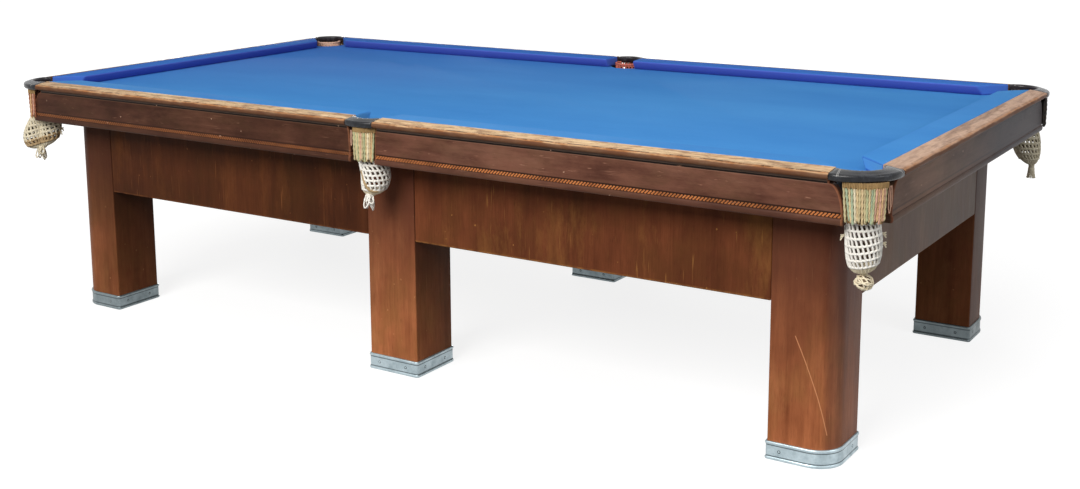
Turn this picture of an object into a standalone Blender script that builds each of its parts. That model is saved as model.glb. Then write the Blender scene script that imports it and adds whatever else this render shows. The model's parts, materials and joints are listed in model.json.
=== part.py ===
"""Six-legged pocket billiard table of the ten-foot class.

Metres, +Z up. The origin is on the floor under the middle of the bed, +X runs along the
table and -Y is the front. A slate bed stands on legs, aprons and a bearer frame. Rails with
cloth-covered cushions lie on the bed, blinds hang under them, and six leather-covered pocket
irons join the rails. A corded fringe and a net bag hang from each iron, and the bag swings.
"""
import math

import bmesh
import bpy
from mathutils import Matrix, Vector

# Driving dimensions: bed
PLAY_LENGTH = 2.8448
PLAY_WIDTH = 1.4224
BED_HEIGHT = 0.778
CLOTH_THICKNESS = 0.0012
CLOTH_INSET = 0.004
SLATE_THICKNESS = 0.045
SLATE_EDGE_GAP = 0.006
SLATE_COUNT = 3
CLEARANCE = 0.0003

# Driving dimensions: rails, cushions and blinds
CUSHION_DEPTH = 0.081
CUSHION_HEIGHT = 0.033
CUSHION_UNDERCUT = 0.014
NOSE_RADIUS = 0.0045
NOSE_END_ANGLE = 205
CAP_WIDTH = 0.056
CAP_THICKNESS = 0.0155
CAP_OVERHANG = 0.019
CAP_FALL = 0.0055
BLIND_THICKNESS = 0.022
BLIND_HEIGHT = 0.118
COVE_HEIGHT = 0.0185
COVE_DEPTH = 0.010
BEAD_HEIGHT = 0.017
BEAD_DEPTH = 0.0035

# Driving dimensions: pocket mouths, irons and blind ends
CORNER_MOUTH = 0.085
SIDE_MOUTH = 0.058
SIDE_THROAT = 0.0505
IRON_OVERLAP = 0.004
IRON_ARC_INSET = 0.011
IRON_WIDTH = 0.034
IRON_HEIGHT = 0.025
IRON_ROUND = 0.007
SIDE_IRON_BULGE = 0.009
SIDE_IRON_HOLLOW = 0.030
BLIND_TAIL = 0.036
CORNER_BLIND_SETBACK = 0.006
SIDE_BLIND_TAIL = 0.0055

# Driving dimensions: net bags and fringes
CORNER_POCKET_OFFSET = 0.055
SIDE_POCKET_OFFSET = 0.075
BAG_RADIUS = 0.045
BAG_DEPTH = 0.137
BAG_LIP = 0.0075
NET_WALL = 0.0022
NECK_SPREAD = 0.002
NECK_BITE = 0.005
NECK_SINK = 0.008
SEAT_TOP_ANGLE = 35
SEAT_BOTTOM_ANGLE = -14
SWING_DROP = 0.098
KNOT_RADIUS = 0.021
KNOT_SINK = 0.005
KNOT_NECK_ANGLE = 50
TASSEL_LENGTH = 0.010
TASSEL_RADIUS = 0.013
SLATE_CUT_MARGIN = 0.017
FRINGE_GAP = 0.0085
FRINGE_THICKNESS = 0.005
FRINGE_LENGTH = 0.102
BAND_HEIGHT = 0.020
BAND_RELIEF = 0.0008
CORD_RELIEF = 0.0013
CORD_PITCH = 0.0075
CORNER_FRINGE_SWEEP = 132
SIDE_FRINGE_SWEEP = 92

# Driving dimensions: base
LEG_WIDTH = 0.178
LEG_DEPTH = 0.182
LEG_ROUND = 0.070
END_SETBACK = 0.139
SIDE_SETBACK = 0.127
SHOE_HEIGHT = 0.050
SHOE_WALL = 0.003
SHOE_FLOOR = 0.002
SHOE_BEAD = 0.0025
SHOE_BEAD_HEIGHT = 0.009
SHOE_CORNER = 0.004
APRON_HEIGHT = 0.306
APRON_THICKNESS = 0.028
APRON_RECESS = 0.001
EDGE_ROUND = 0.002
BEAM_HEIGHT = 0.120
BEAM_WIDTH = 0.080
BEAM_STEP = 0.0005

# Facets on round work
NET_SIDES = 16
BELLY_STEPS = 7
IRON_STEPS = 10
EDGE_STEPS = 2
POCKET_STEPS = 10
MOULDING_STEPS = 4
TAIL_STEPS = 6
LEG_STEPS = 8

# Cross shapes as shares of a height or pitch and of a relief
ROLLED_BEAD = ((0.0, 0.0), (0.3, 1.0), (0.7, 1.0), (1.0, 0.0))
ROUND_CORD = ((0.0, 0.0), (0.3, 1.0), (0.7, 1.0))

# Derived sizes: distances outward from the cushion nose
HALF_LENGTH = PLAY_LENGTH / 2
HALF_WIDTH = PLAY_WIDTH / 2
CAP_EDGE = CUSHION_DEPTH + CAP_WIDTH
BLIND_FACE = CAP_EDGE - CAP_OVERHANG
BLIND_BACK = BLIND_FACE - BLIND_THICKNESS
SLATE_EDGE = BLIND_BACK - SLATE_EDGE_GAP
CLOTH_EDGE = SLATE_EDGE - CLOTH_INSET

# Derived sizes: heights
SLATE_TOP = BED_HEIGHT - CLOTH_THICKNESS - CLEARANCE
SLATE_BOTTOM = SLATE_TOP - SLATE_THICKNESS
BASE_TOP = SLATE_BOTTOM - CLEARANCE
RAIL_BOTTOM = BED_HEIGHT + CLEARANCE
RAIL_TOP = BED_HEIGHT + CUSHION_HEIGHT
CAP_BOTTOM = RAIL_TOP - CAP_THICKNESS
BLIND_TOP = CAP_BOTTOM - CLEARANCE
BLIND_BOTTOM = BLIND_TOP - BLIND_HEIGHT
IRON_BOTTOM = RAIL_TOP - IRON_HEIGHT
SWING_HEIGHT = IRON_BOTTOM - SWING_DROP
FRINGE_TOP = IRON_BOTTOM - CLEARANCE

# Derived sizes: plan
LEG_FACE_X = HALF_LENGTH + BLIND_FACE - END_SETBACK
LEG_FACE_Y = HALF_WIDTH + BLIND_FACE - SIDE_SETBACK
SEAT_RADIUS = BAG_RADIUS - NET_WALL
NECK_RADIUS = BAG_RADIUS + NECK_SPREAD
SLATE_CUT = NECK_RADIUS + SLATE_CUT_MARGIN
FRINGE_RADIUS = BAG_RADIUS + FRINGE_GAP + FRINGE_THICKNESS / 2
SLATE_SPLIT = (HALF_LENGTH + SLATE_EDGE) / SLATE_COUNT

for old in list(bpy.data.objects):
    bpy.data.objects.remove(old, do_unlink=True)

table = bpy.data.collections.new("billiard_table")
cutters = bpy.data.collections.new("cutters")
for collection in (table, cutters):
    bpy.context.scene.collection.children.link(collection)


def finish(name, colour, roughness, metallic=0.0):
    """A plain Principled material for one kind of piece."""
    material = bpy.data.materials.new(name)
    material.use_nodes = True
    shader = material.node_tree.nodes["Principled BSDF"]
    shader.inputs["Base Color"].default_value = (*colour, 1.0)
    shader.inputs["Roughness"].default_value = roughness
    shader.inputs["Metallic"].default_value = metallic
    return material


MAHOGANY = finish("mahogany", (0.16, 0.052, 0.026), 0.42)
DARK_MAHOGANY = finish("dark_mahogany", (0.098, 0.043, 0.027), 0.45)
WORN_WALNUT = finish("worn_walnut", (0.42, 0.23, 0.10), 0.50)
BLUE_CLOTH = finish("blue_cloth", (0.05, 0.20, 0.58), 0.95)
CUSHION_CLOTH = finish("cushion_cloth", (0.03, 0.10, 0.45), 0.95)
SLATE = finish("slate", (0.10, 0.11, 0.12), 0.75)
BEARER_PINE = finish("bearer_pine", (0.45, 0.30, 0.17), 0.70)
SHEET_METAL = finish("sheet_metal", (0.48, 0.55, 0.60), 0.38, 0.9)
BLACK_LEATHER = finish("black_leather", (0.018, 0.018, 0.020), 0.45)
CORD_FRINGE = finish("cord_fringe", (0.46, 0.36, 0.20), 0.90)
COTTON_NET = finish("cotton_net", (0.72, 0.67, 0.57), 0.92)


def add_object(name, mesh, material, location=(0.0, 0.0, 0.0), collection=table):
    """Link a mesh under its name, with its material and place."""
    mesh.name = name
    mesh.materials.clear()
    if material:
        mesh.materials.append(material)
    piece = bpy.data.objects.new(name, mesh)
    piece.location = location
    collection.objects.link(piece)
    return piece


def as_guide(piece):
    """Mark a shape that only cuts or joins other pieces."""
    piece.hide_render = True
    piece.display_type = "WIRE"


def shade_round(mesh, angle=40):
    """Smooth shading with sharp edges kept."""
    mesh.shade_smooth()
    mesh.set_sharp_from_angle(angle=math.radians(angle))


def loft(name, rings):
    """A closed skin through rings of equal count, capped at the first and the last."""
    bm = bmesh.new()
    rows = [[bm.verts.new(point) for point in ring] for ring in rings]
    count = len(rows[0])
    for lower, upper in zip(rows, rows[1:]):
        for i in range(count):
            j = (i + 1) % count
            bm.faces.new((lower[i], lower[j], upper[j], upper[i]))
    bm.faces.new(list(reversed(rows[0])))
    bm.faces.new(rows[-1])
    bmesh.ops.recalc_face_normals(bm, faces=bm.faces)
    mesh = bpy.data.meshes.new(name)
    bm.to_mesh(mesh)
    bm.free()
    return mesh


def plate(name, outline, bottom, top):
    """A flat outline given a thickness: a filled 2D curve made a mesh."""
    curve = bpy.data.curves.new(name, "CURVE")
    curve.dimensions = "2D"
    curve.fill_mode = "BOTH"
    curve.extrude = (top - bottom) / 2
    spline = curve.splines.new("POLY")
    spline.points.add(len(outline) - 1)
    for point, (x, y) in zip(spline.points, outline):
        point.co = (x, y, 0.0, 1.0)
    spline.use_cyclic_u = True
    drawn = bpy.data.objects.new(name + "_curve", curve)
    cutters.objects.link(drawn)
    bpy.context.view_layer.update()
    evaluated = drawn.evaluated_get(bpy.context.evaluated_depsgraph_get())
    mesh = bpy.data.meshes.new_from_object(evaluated)
    bpy.data.objects.remove(drawn, do_unlink=True)
    bm = bmesh.new()
    bm.from_mesh(mesh)
    bmesh.ops.remove_doubles(bm, verts=bm.verts, dist=1e-6)
    bmesh.ops.translate(bm, verts=bm.verts, vec=(0.0, 0.0, (top + bottom) / 2))
    bmesh.ops.recalc_face_normals(bm, faces=bm.faces)
    bm.to_mesh(mesh)
    bm.free()
    return mesh


def board(name, low, high, material, collection=table):
    """A sawn board between two corners, its origin at its middle, with eased edges."""
    low = Vector(low)
    high = Vector(high)
    bm = bmesh.new()
    bmesh.ops.create_cube(bm, size=1.0, matrix=Matrix.Diagonal((*(high - low), 1.0)))
    mesh = bpy.data.meshes.new(name)
    bm.to_mesh(mesh)
    bm.free()
    piece = add_object(name, mesh, material, (low + high) / 2, collection)
    if EDGE_ROUND and collection is table:
        ease = piece.modifiers.new("eased_edges", "BEVEL")
        ease.width = EDGE_ROUND
        ease.segments = 1
    return piece


def turned(name, profile, material, location, closed, collection=table, turn=0.0):
    """A profile of (radius, height) points turned about Z."""
    mesh = bpy.data.meshes.new(name)
    edges = [(i, i + 1) for i in range(len(profile) - 1)]
    if closed:
        edges.append((len(profile) - 1, 0))
    mesh.from_pydata([(r, 0.0, z) for r, z in profile], edges, [])
    piece = add_object(name, mesh, material, location, collection)
    piece.rotation_euler.z = turn
    screw = piece.modifiers.new("turning", "SCREW")
    screw.axis = "Z"
    screw.steps = NET_SIDES
    screw.render_steps = NET_SIDES
    screw.use_merge_vertices = True
    screw.merge_threshold = 1e-5
    screw.use_smooth_shade = True
    return piece


def boolean(piece, other, operation):
    """Join or cut a piece with another shape."""
    modifier = piece.modifiers.new(operation.lower(), "BOOLEAN")
    modifier.operation = operation
    modifier.solver = "EXACT"
    modifier.object = other


def arc(centre, radius, start, end, steps):
    """Points on an arc, angles in degrees, both ends included."""
    points = []
    for i in range(steps + 1):
        angle = math.radians(start + (end - start) * i / steps)
        points.append((centre[0] + radius * math.cos(angle), centre[1] + radius * math.sin(angle)))
    return points


SIDES = {"front": -1, "back": 1}
ENDS = {"left": -1, "right": 1}


# Slates: three slabs, notched round at the pockets
def notch(centre, edge_x, edge_y):
    """The round bite that a pocket takes out of a bed corner, from the long edge to the end edge."""
    reach = math.sqrt(SLATE_CUT ** 2 - (edge_y - centre) ** 2)
    reach_end = math.sqrt(SLATE_CUT ** 2 - (edge_x - centre) ** 2)
    start = math.degrees(math.atan2(edge_y - centre, -reach))
    end = math.degrees(math.atan2(-reach_end, edge_x - centre)) + 360
    return arc((centre, centre), SLATE_CUT, start, end, POCKET_STEPS)


def side_notch(edge):
    """The round bite at a side pocket, in (along, outward) from the middle of the long nose."""
    start = math.degrees(math.asin((edge - SIDE_POCKET_OFFSET) / SLATE_CUT))
    return arc((0.0, SIDE_POCKET_OFFSET), SLATE_CUT, 180 - start, 360 + start, POCKET_STEPS)


def end_outline(end, inner, edge):
    """Half of a bed layer: from the line x = inner to the end, with both corner bites."""
    corner = notch(CORNER_POCKET_OFFSET, edge, edge)
    front = [(HALF_LENGTH + a, -HALF_WIDTH - b) for a, b in corner]
    back = [(HALF_LENGTH + a, HALF_WIDTH + b) for a, b in reversed(corner)]
    points = [(inner, -HALF_WIDTH - edge)] + front + back + [(inner, HALF_WIDTH + edge)]
    return [(end * x, y) for x, y in points]


def middle_outline(half, edge):
    """The middle of a bed layer, with both side bites."""
    bite = side_notch(edge)
    front = [(a, -HALF_WIDTH - b) for a, b in bite]
    back = [(-a, HALF_WIDTH + b) for a, b in bite]
    left = [(-half, -HALF_WIDTH - edge)]
    right = [(half, -HALF_WIDTH - edge), (half, HALF_WIDTH + edge)]
    return left + front + right + back + [(-half, HALF_WIDTH + edge)]


for place, end in ENDS.items():
    outline = end_outline(end, SLATE_SPLIT + CLEARANCE / 2, SLATE_EDGE)
    name = f"slate_{place}"
    add_object(name, plate(name, outline, SLATE_BOTTOM, SLATE_TOP), SLATE)
outline = middle_outline(SLATE_SPLIT - CLEARANCE / 2, SLATE_EDGE)
add_object("slate_middle", plate("slate_middle", outline, SLATE_BOTTOM, SLATE_TOP), SLATE)

# Bed cloth: one stretched sheet over the slates, cut away at the pockets
bite = side_notch(CLOTH_EDGE)
right_part = end_outline(1, 0.0, CLOTH_EDGE)[1:-1]
left_part = end_outline(-1, 0.0, CLOTH_EDGE)[1:-1]
outline = [(a, -HALF_WIDTH - b) for a, b in bite] + right_part
outline += [(-a, HALF_WIDTH + b) for a, b in bite] + list(reversed(left_part))
add_object("bed_cloth", plate("bed_cloth", outline, BED_HEIGHT - CLOTH_THICKNESS, BED_HEIGHT), BLUE_CLOTH)


# Rails, cushions and blinds: six runs, each from pocket to pocket
def long_run(end, side):
    """Place (along, outward, height) on a long rail; along grows from the side pocket to the corner."""
    return lambda t, s, z: (end * t, side * (HALF_WIDTH + s), z)


def end_run(end):
    """Place (along, outward, height) on an end rail; along grows from the front to the back."""
    return lambda t, s, z: (end * (HALF_LENGTH + s), t, z)


def corner_jaw(half):
    """Cushion end at a corner pocket: a straight cut from the nose to the iron."""
    return lambda s: half - CORNER_MOUTH + (CORNER_MOUTH - IRON_OVERLAP - CLEARANCE) * s / CUSHION_DEPTH


def side_jaw(s):
    """Cushion end at a side pocket: a slight splay from throat to mouth."""
    return SIDE_MOUTH + (SIDE_THROAT - SIDE_MOUTH) * s / CUSHION_DEPTH


def tail(z):
    """Share of its full sweep that a blind's end has at a height: none under the cove, all at the bead."""
    drop = (BLIND_TOP - COVE_HEIGHT - z) / (BLIND_HEIGHT - COVE_HEIGHT - BEAD_HEIGHT)
    drop = min(max(drop, 0.0), 1.0)
    return math.sqrt(1 - (1 - drop) ** 2)


def cushion_profile():
    """Nose, flat top, back and undercut face as (outward, height)."""
    nose = arc((NOSE_RADIUS, RAIL_TOP - NOSE_RADIUS), NOSE_RADIUS, 90, NOSE_END_ANGLE, MOULDING_STEPS)
    foot = [(CUSHION_UNDERCUT, RAIL_BOTTOM), (CUSHION_DEPTH, RAIL_BOTTOM), (CUSHION_DEPTH, RAIL_TOP)]
    return nose + foot


def rail_profile():
    """Sub-rail and cap as one (outward, height) outline: the top falls to a bull nose that hangs past the cove."""
    inner = CUSHION_DEPTH + CLEARANCE
    outer = BLIND_BACK - CLEARANCE
    nose = CAP_OVERHANG - COVE_DEPTH - CLEARANCE
    bull = arc((CAP_EDGE - nose, RAIL_TOP - CAP_FALL - nose), nose, -90, 90, MOULDING_STEPS)
    foot = [(inner, RAIL_TOP), (inner, RAIL_BOTTOM), (outer, RAIL_BOTTOM), (outer, CAP_BOTTOM)]
    return bull + foot + [(CAP_EDGE - nose, CAP_BOTTOM)]


def blind_levels():
    """(outward, height) down the blind's face: cove under the cap, flat board, bead along the foot."""
    cove = []
    for i in range(MOULDING_STEPS + 1):
        angle = math.pi / 2 * i / MOULDING_STEPS
        cove.append((BLIND_FACE + COVE_DEPTH * (1 - math.sin(angle)),
                     BLIND_TOP - COVE_HEIGHT * (1 - math.cos(angle))))
    flat_top = BLIND_TOP - COVE_HEIGHT
    flat_foot = BLIND_BOTTOM + BEAD_HEIGHT
    flat = []
    for i in range(1, TAIL_STEPS + 1):
        share = 1 - math.cos(math.pi / 2 * i / TAIL_STEPS)
        flat.append((BLIND_FACE, flat_top + (flat_foot - flat_top) * share))
    bead = []
    for up, out in reversed(ROLLED_BEAD[:-1]):
        bead.append((BLIND_FACE + BEAD_DEPTH * out, BLIND_BOTTOM + BEAD_HEIGHT * up))
    return cove + flat + bead


def straight_run(name, profile, run, start, end, material):
    """A moulding: one profile carried from its start to its end, each a function of the outward distance."""
    rings = [[run(start(s), s, z) for s, z in profile], [run(end(s), s, z) for s, z in profile]]
    mesh = loft(name, rings)
    shade_round(mesh, 35)
    return add_object(name, mesh, material)


def blind_run(name, run, start, end):
    """A blind: level by level, so that its ends can sweep out towards the pockets."""
    rings = []
    for s, z in blind_levels():
        t0 = start(z)
        t1 = end(z)
        rings.append([run(t0, BLIND_BACK, z), run(t1, BLIND_BACK, z), run(t1, s, z), run(t0, s, z)])
    return add_object(name, loft(name, rings), DARK_MAHOGANY)


def rail_set(place, run, cushion_ends, rail_ends, blind_ends):
    """The three pieces of one rail."""
    straight_run(f"cushion_{place}", cushion_profile(), run, *cushion_ends, CUSHION_CLOTH)
    straight_run(f"rail_{place}", rail_profile(), run, *rail_ends, WORN_WALNUT)
    blind_run(f"blind_{place}", run, *blind_ends)


def long_ends(half):
    """End functions of a long rail: side pocket first, corner pocket last."""
    cushion = (side_jaw, corner_jaw(half))
    rail = (lambda s: SIDE_THROAT, lambda s: half - IRON_OVERLAP - CLEARANCE)
    blind = (lambda z: SIDE_THROAT - SIDE_BLIND_TAIL * tail(z),
             lambda z: half - CORNER_BLIND_SETBACK + BLIND_TAIL * tail(z))
    return cushion, rail, blind


def short_ends(half):
    """End functions of an end rail: the same corner end twice, mirrored."""
    _, corner_rail, corner_blind = long_ends(half)
    jaw = corner_jaw(half)
    cushion = (lambda s: -jaw(s), jaw)
    rail = (lambda s: -corner_rail[1](s), corner_rail[1])
    blind = (lambda z: -corner_blind[1](z), corner_blind[1])
    return cushion, rail, blind


for side_name, side in SIDES.items():
    for end_name, end in ENDS.items():
        rail_set(f"{side_name}_{end_name}", long_run(end, side), *long_ends(HALF_LENGTH))
for end_name, end in ENDS.items():
    rail_set(f"end_{end_name}", end_run(end), *short_ends(HALF_WIDTH))


# Pockets: leather-covered iron with the fixed top of the net, fringe, and swinging net bag
def corner_frame(end, side):
    """Place (a, b) measured outward from the corner of the two cushion noses."""
    return lambda a, b: Vector((end * (HALF_LENGTH + a), side * (HALF_WIDTH + b)))


def side_frame(side):
    """Place (a, b) measured from the middle of the long cushion nose, b outward."""
    return lambda a, b: Vector((a, side * (HALF_WIDTH + b)))


def rounded_section(inner, outer, bottom, top, radius):
    """A round-edged oblong standing on the line from inner to outer, its top falling outward like the caps."""
    reach = (outer - inner).length
    across = (outer - inner) / reach
    corners = [((reach - radius, bottom + radius), -90), ((reach - radius, top - CAP_FALL - radius), 0),
               ((radius, top - radius), 90), ((radius, bottom + radius), 180)]
    points = []
    for centre, start in corners:
        for u, z in arc(centre, radius, start, start + 90, EDGE_STEPS):
            spot = inner + across * u
            points.append((spot.x, spot.y, z))
    return points


def hole_arc():
    """Inner edge of a corner iron: the round hole, from one cushion end to the other."""
    near = -IRON_OVERLAP
    far = CUSHION_DEPTH
    outer_radius = CAP_EDGE - IRON_ARC_INSET
    crown = IRON_ARC_INSET + (outer_radius - IRON_WIDTH) / math.sqrt(2)
    centre = (2 * crown ** 2 - near ** 2 - far ** 2) / (4 * crown - 2 * near - 2 * far)
    radius = math.sqrt(2) * (crown - centre)
    start = math.degrees(math.atan2(near - centre, far - centre))
    return arc((centre, centre), radius, start, 90 - start, IRON_STEPS)


def corner_iron_sections(frame):
    """A round-cornered bow whose outer edge carries on from the two caps."""
    centre = (IRON_ARC_INSET, IRON_ARC_INSET)
    bend = arc(centre, CAP_EDGE - IRON_ARC_INSET, 0, 90, IRON_STEPS - 2)
    outer_edge = [(CAP_EDGE, -IRON_OVERLAP)] + bend + [(-IRON_OVERLAP, CAP_EDGE)]
    sections = []
    for inner, outer in zip(hole_arc(), outer_edge):
        section = rounded_section(frame(*inner), frame(*outer), IRON_BOTTOM, RAIL_TOP, IRON_ROUND)
        sections.append(section)
    return sections


def side_iron_sections(frame):
    """A short bowed bar between two caps, hollowed on the pocket side."""
    half = SIDE_THROAT - CLEARANCE
    sections = []
    for i in range(IRON_STEPS + 1):
        share = 2 * i / IRON_STEPS - 1
        outer = CAP_EDGE + SIDE_IRON_BULGE * (1 - share ** 2)
        inner = CAP_EDGE + SIDE_IRON_BULGE - IRON_WIDTH - SIDE_IRON_HOLLOW * share ** 2
        section = rounded_section(frame(half * share, inner), frame(half * share, outer),
                                  IRON_BOTTOM, RAIL_TOP, IRON_ROUND)
        sections.append(section)
    return sections


def seat_point(angle, radius):
    """A point of the round seat that the bag hangs on, as (radius, height) from the swing axis."""
    return radius * math.cos(math.radians(angle)), radius * math.sin(math.radians(angle))


def neck_profile():
    """Fixed top of the net: a flared sleeve that ends in a round seat."""
    ball = SEAT_RADIUS - CLEARANCE
    top = SWING_DROP + IRON_HEIGHT / 2
    waist = seat_point(SEAT_TOP_ANGLE, ball)
    middle = (NECK_RADIUS + waist[0]) / 2, (SWING_DROP + waist[1]) / 2
    seat = []
    for i in range(4):
        angle = SEAT_TOP_ANGLE + (SEAT_BOTTOM_ANGLE - SEAT_TOP_ANGLE) * i / 3
        seat.append(seat_point(angle, ball))
    outer = [(NECK_RADIUS, top), (NECK_RADIUS, SWING_DROP), middle] + seat
    inside = [seat[-1], seat[0], middle, (NECK_RADIUS, SWING_DROP), (NECK_RADIUS, top)]
    return outer + [(radius - NET_WALL, height) for radius, height in inside]


def bag_profile():
    """Net bag: inside from its floor to the lip, then down the outside to the knot and tassel."""
    flat = 1 / math.cos(math.pi / NET_SIDES)

    def belly(radius, depth):
        points = []
        for i in range(BELLY_STEPS + 1):
            share = math.sin(math.pi / 2 * i / BELLY_STEPS)
            points.append((radius * flat * math.sqrt(1 - share ** 4), -depth * share))
        return points

    inside = belly(SEAT_RADIUS, BAG_DEPTH - NET_WALL)
    outside = belly(BAG_RADIUS, BAG_DEPTH)[:-1]
    lip = [(SEAT_RADIUS * flat, BAG_LIP), (BAG_RADIUS * flat, BAG_LIP)]
    knot_middle = -BAG_DEPTH - KNOT_RADIUS + KNOT_SINK
    knot = []
    for i in range(MOULDING_STEPS):
        angle = KNOT_NECK_ANGLE * (1 - 2 * i / (MOULDING_STEPS - 1))
        radius, height = seat_point(angle, KNOT_RADIUS)
        knot.append((radius, knot_middle + height))
    tassel_top = knot[-1][1]
    tassel = [(TASSEL_RADIUS, tassel_top - TASSEL_LENGTH), (0.0, tassel_top - TASSEL_LENGTH)]
    return list(reversed(inside)) + lip + outside + knot + tassel


def fringe_ring(frame, centre, middle, sweep, height, relief, depth):
    """One level of the fringe: cords as ripples on the outer face, a plain back."""
    arc_length = math.radians(sweep) * FRINGE_RADIUS
    cords = max(3, round(arc_length / CORD_PITCH))
    step = sweep / cords
    first = middle - sweep / 2
    front = []
    back = []
    for i in range(cords):
        for share, rise in ROUND_CORD:
            front.append((first + (i + share) * step, FRINGE_RADIUS + depth / 2 - relief * (1 - rise)))
        back.append((first + (i + 0.5) * step, FRINGE_RADIUS - depth / 2))
    front.append((first + sweep, FRINGE_RADIUS + depth / 2 - relief))
    ring = []
    for angle, radius in front + list(reversed(back)):
        spot = frame(centre[0] + radius * math.cos(math.radians(angle)),
                     centre[1] + radius * math.sin(math.radians(angle)))
        ring.append((spot.x, spot.y, height))
    return ring


def fringe(name, frame, centre, middle, sweep):
    """A woven band with cords hanging under it, as one ripple-faced curtain."""
    band_foot = FRINGE_TOP - BAND_HEIGHT
    thin = FRINGE_THICKNESS - 2 * BAND_RELIEF
    levels = [(FRINGE_TOP, 0.0, FRINGE_THICKNESS), (band_foot, 0.0, FRINGE_THICKNESS),
              (band_foot - BAND_RELIEF, CORD_RELIEF, thin),
              (FRINGE_TOP - FRINGE_LENGTH, CORD_RELIEF, thin)]
    rings = [fringe_ring(frame, centre, middle, sweep, *level) for level in levels]
    return add_object(name, loft(name, rings), CORD_FRINGE)


def pocket(place, frame, centre, middle, sweep, sections):
    """All the pieces of one pocket; middle is the outward angle in the pocket's own frame."""
    axis = frame(*centre)
    outward = frame(centre[0] + math.cos(math.radians(middle)),
                    centre[1] + math.sin(math.radians(middle))) - axis
    hang = (axis.x, axis.y, SWING_HEIGHT)
    half_side = math.pi / NET_SIDES

    # The net's top is cut on a slope: up into the leather outside, under the bed inside
    neck = turned(f"neck_{place}", neck_profile(), None, hang, True, cutters, half_side)
    rim_out = IRON_BOTTOM + NECK_BITE
    rim_in = BED_HEIGHT - NECK_SINK
    slope = math.atan2(rim_out - rim_in, 2 * NECK_RADIUS)
    span = 4 * NECK_RADIUS
    bm = bmesh.new()
    bmesh.ops.create_cube(bm, size=span, matrix=Matrix.Translation((0.0, 0.0, span / 2)))
    mesh = bpy.data.meshes.new(f"rim_cut_{place}")
    bm.to_mesh(mesh)
    bm.free()
    cut = add_object(f"rim_cut_{place}", mesh, None, (axis.x, axis.y, (rim_out + rim_in) / 2), cutters)
    cut.rotation_euler = (0.0, -slope, math.atan2(outward.y, outward.x))
    boolean(neck, cut, "DIFFERENCE")
    as_guide(neck)
    as_guide(cut)

    name = f"iron_{place}"
    mesh = loft(name, sections(frame))
    shade_round(mesh, 50)
    boolean(add_object(name, mesh, BLACK_LEATHER), neck, "UNION")

    fringe(f"fringe_{place}", frame, centre, middle, sweep)
    turned(f"net_{place}", bag_profile(), COTTON_NET, hang, False)


CORNER_CENTRE = (CORNER_POCKET_OFFSET, CORNER_POCKET_OFFSET)
SIDE_CENTRE = (0.0, SIDE_POCKET_OFFSET)
for side_name, side in SIDES.items():
    for end_name, end in ENDS.items():
        pocket(f"{side_name}_{end_name}", corner_frame(end, side), CORNER_CENTRE, 45,
               CORNER_FRINGE_SWEEP, corner_iron_sections)
    pocket(f"{side_name}_middle", side_frame(side), SIDE_CENTRE, 90,
           SIDE_FRINGE_SWEEP, side_iron_sections)


# Legs: square in the middle, round on the outer corner at the ends
def leg_outline(end, side, grow, sharp):
    """Outline about the leg's own middle, pushed out by grow; end is 0 for a middle leg."""
    half_x = LEG_WIDTH / 2 + grow
    half_y = LEG_DEPTH / 2 + grow
    outline = []
    for cx, cy, start in ((1, -1, -90), (1, 1, 0), (-1, 1, 90), (-1, -1, 180)):
        outer = end and cx == end and cy == side
        radius = LEG_ROUND + grow if outer else sharp + grow
        steps = LEG_STEPS if outer else 1
        centre = (cx * (half_x - radius), cy * (half_y - radius))
        outline += arc(centre, radius, start, start + 90, steps)
    return outline


def leg_place(end, side):
    """The middle of a leg on the floor."""
    return end * (LEG_FACE_X - LEG_WIDTH / 2), side * (LEG_FACE_Y - LEG_DEPTH / 2), 0.0


def shoe_rings(end, side):
    """Sheet-metal shoe: rolled beads at foot and lip, then down inside to its floor."""
    wall = CLEARANCE + SHOE_WALL
    levels = [(wall + SHOE_BEAD * out, SHOE_BEAD_HEIGHT * up) for up, out in ROLLED_BEAD]
    lip = SHOE_HEIGHT - SHOE_BEAD_HEIGHT
    levels += [(wall + SHOE_BEAD * out, lip + SHOE_BEAD_HEIGHT * up) for up, out in ROLLED_BEAD]
    levels += [(CLEARANCE, SHOE_HEIGHT), (CLEARANCE, SHOE_FLOOR)]
    rings = []
    for grow, height in levels:
        rings.append([(x, y, height) for x, y in leg_outline(end, side, grow, SHOE_CORNER)])
    return rings


LEG_ROW = {"left": -1, "middle": 0, "right": 1}
for side_name, side in SIDES.items():
    for end_name, end in LEG_ROW.items():
        spot = leg_place(end, side)
        name = f"leg_{side_name}_{end_name}"
        mesh = plate(name, leg_outline(end, side, 0.0, SHOE_CORNER), SHOE_FLOOR + CLEARANCE, BASE_TOP)
        shade_round(mesh, 30)
        add_object(name, mesh, MAHOGANY, spot)
        name = f"shoe_{side_name}_{end_name}"
        mesh = loft(name, shoe_rings(end, side))
        shade_round(mesh, 50)
        add_object(name, mesh, SHEET_METAL, spot)

# Aprons: veneered boards between the legs, a hair behind their faces
APRON_FOOT = BASE_TOP - APRON_HEIGHT
front_face = LEG_FACE_Y - APRON_RECESS
end_face = LEG_FACE_X - APRON_RECESS
bay_start = LEG_WIDTH / 2 + CLEARANCE
bay_end = LEG_FACE_X - LEG_WIDTH - CLEARANCE
for side_name, side in SIDES.items():
    for end_name, end in ENDS.items():
        across = sorted((end * bay_start, end * bay_end))
        deep = sorted((side * (front_face - APRON_THICKNESS), side * front_face))
        board(f"apron_{side_name}_{end_name}", (across[0], deep[0], APRON_FOOT),
              (across[1], deep[1], BASE_TOP), MAHOGANY)
end_half = LEG_FACE_Y - LEG_DEPTH - CLEARANCE
for end_name, end in ENDS.items():
    across = sorted((end * (end_face - APRON_THICKNESS), end * end_face))
    board(f"apron_end_{end_name}", (across[0], -end_half, APRON_FOOT),
          (across[1], end_half, BASE_TOP), MAHOGANY)

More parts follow.
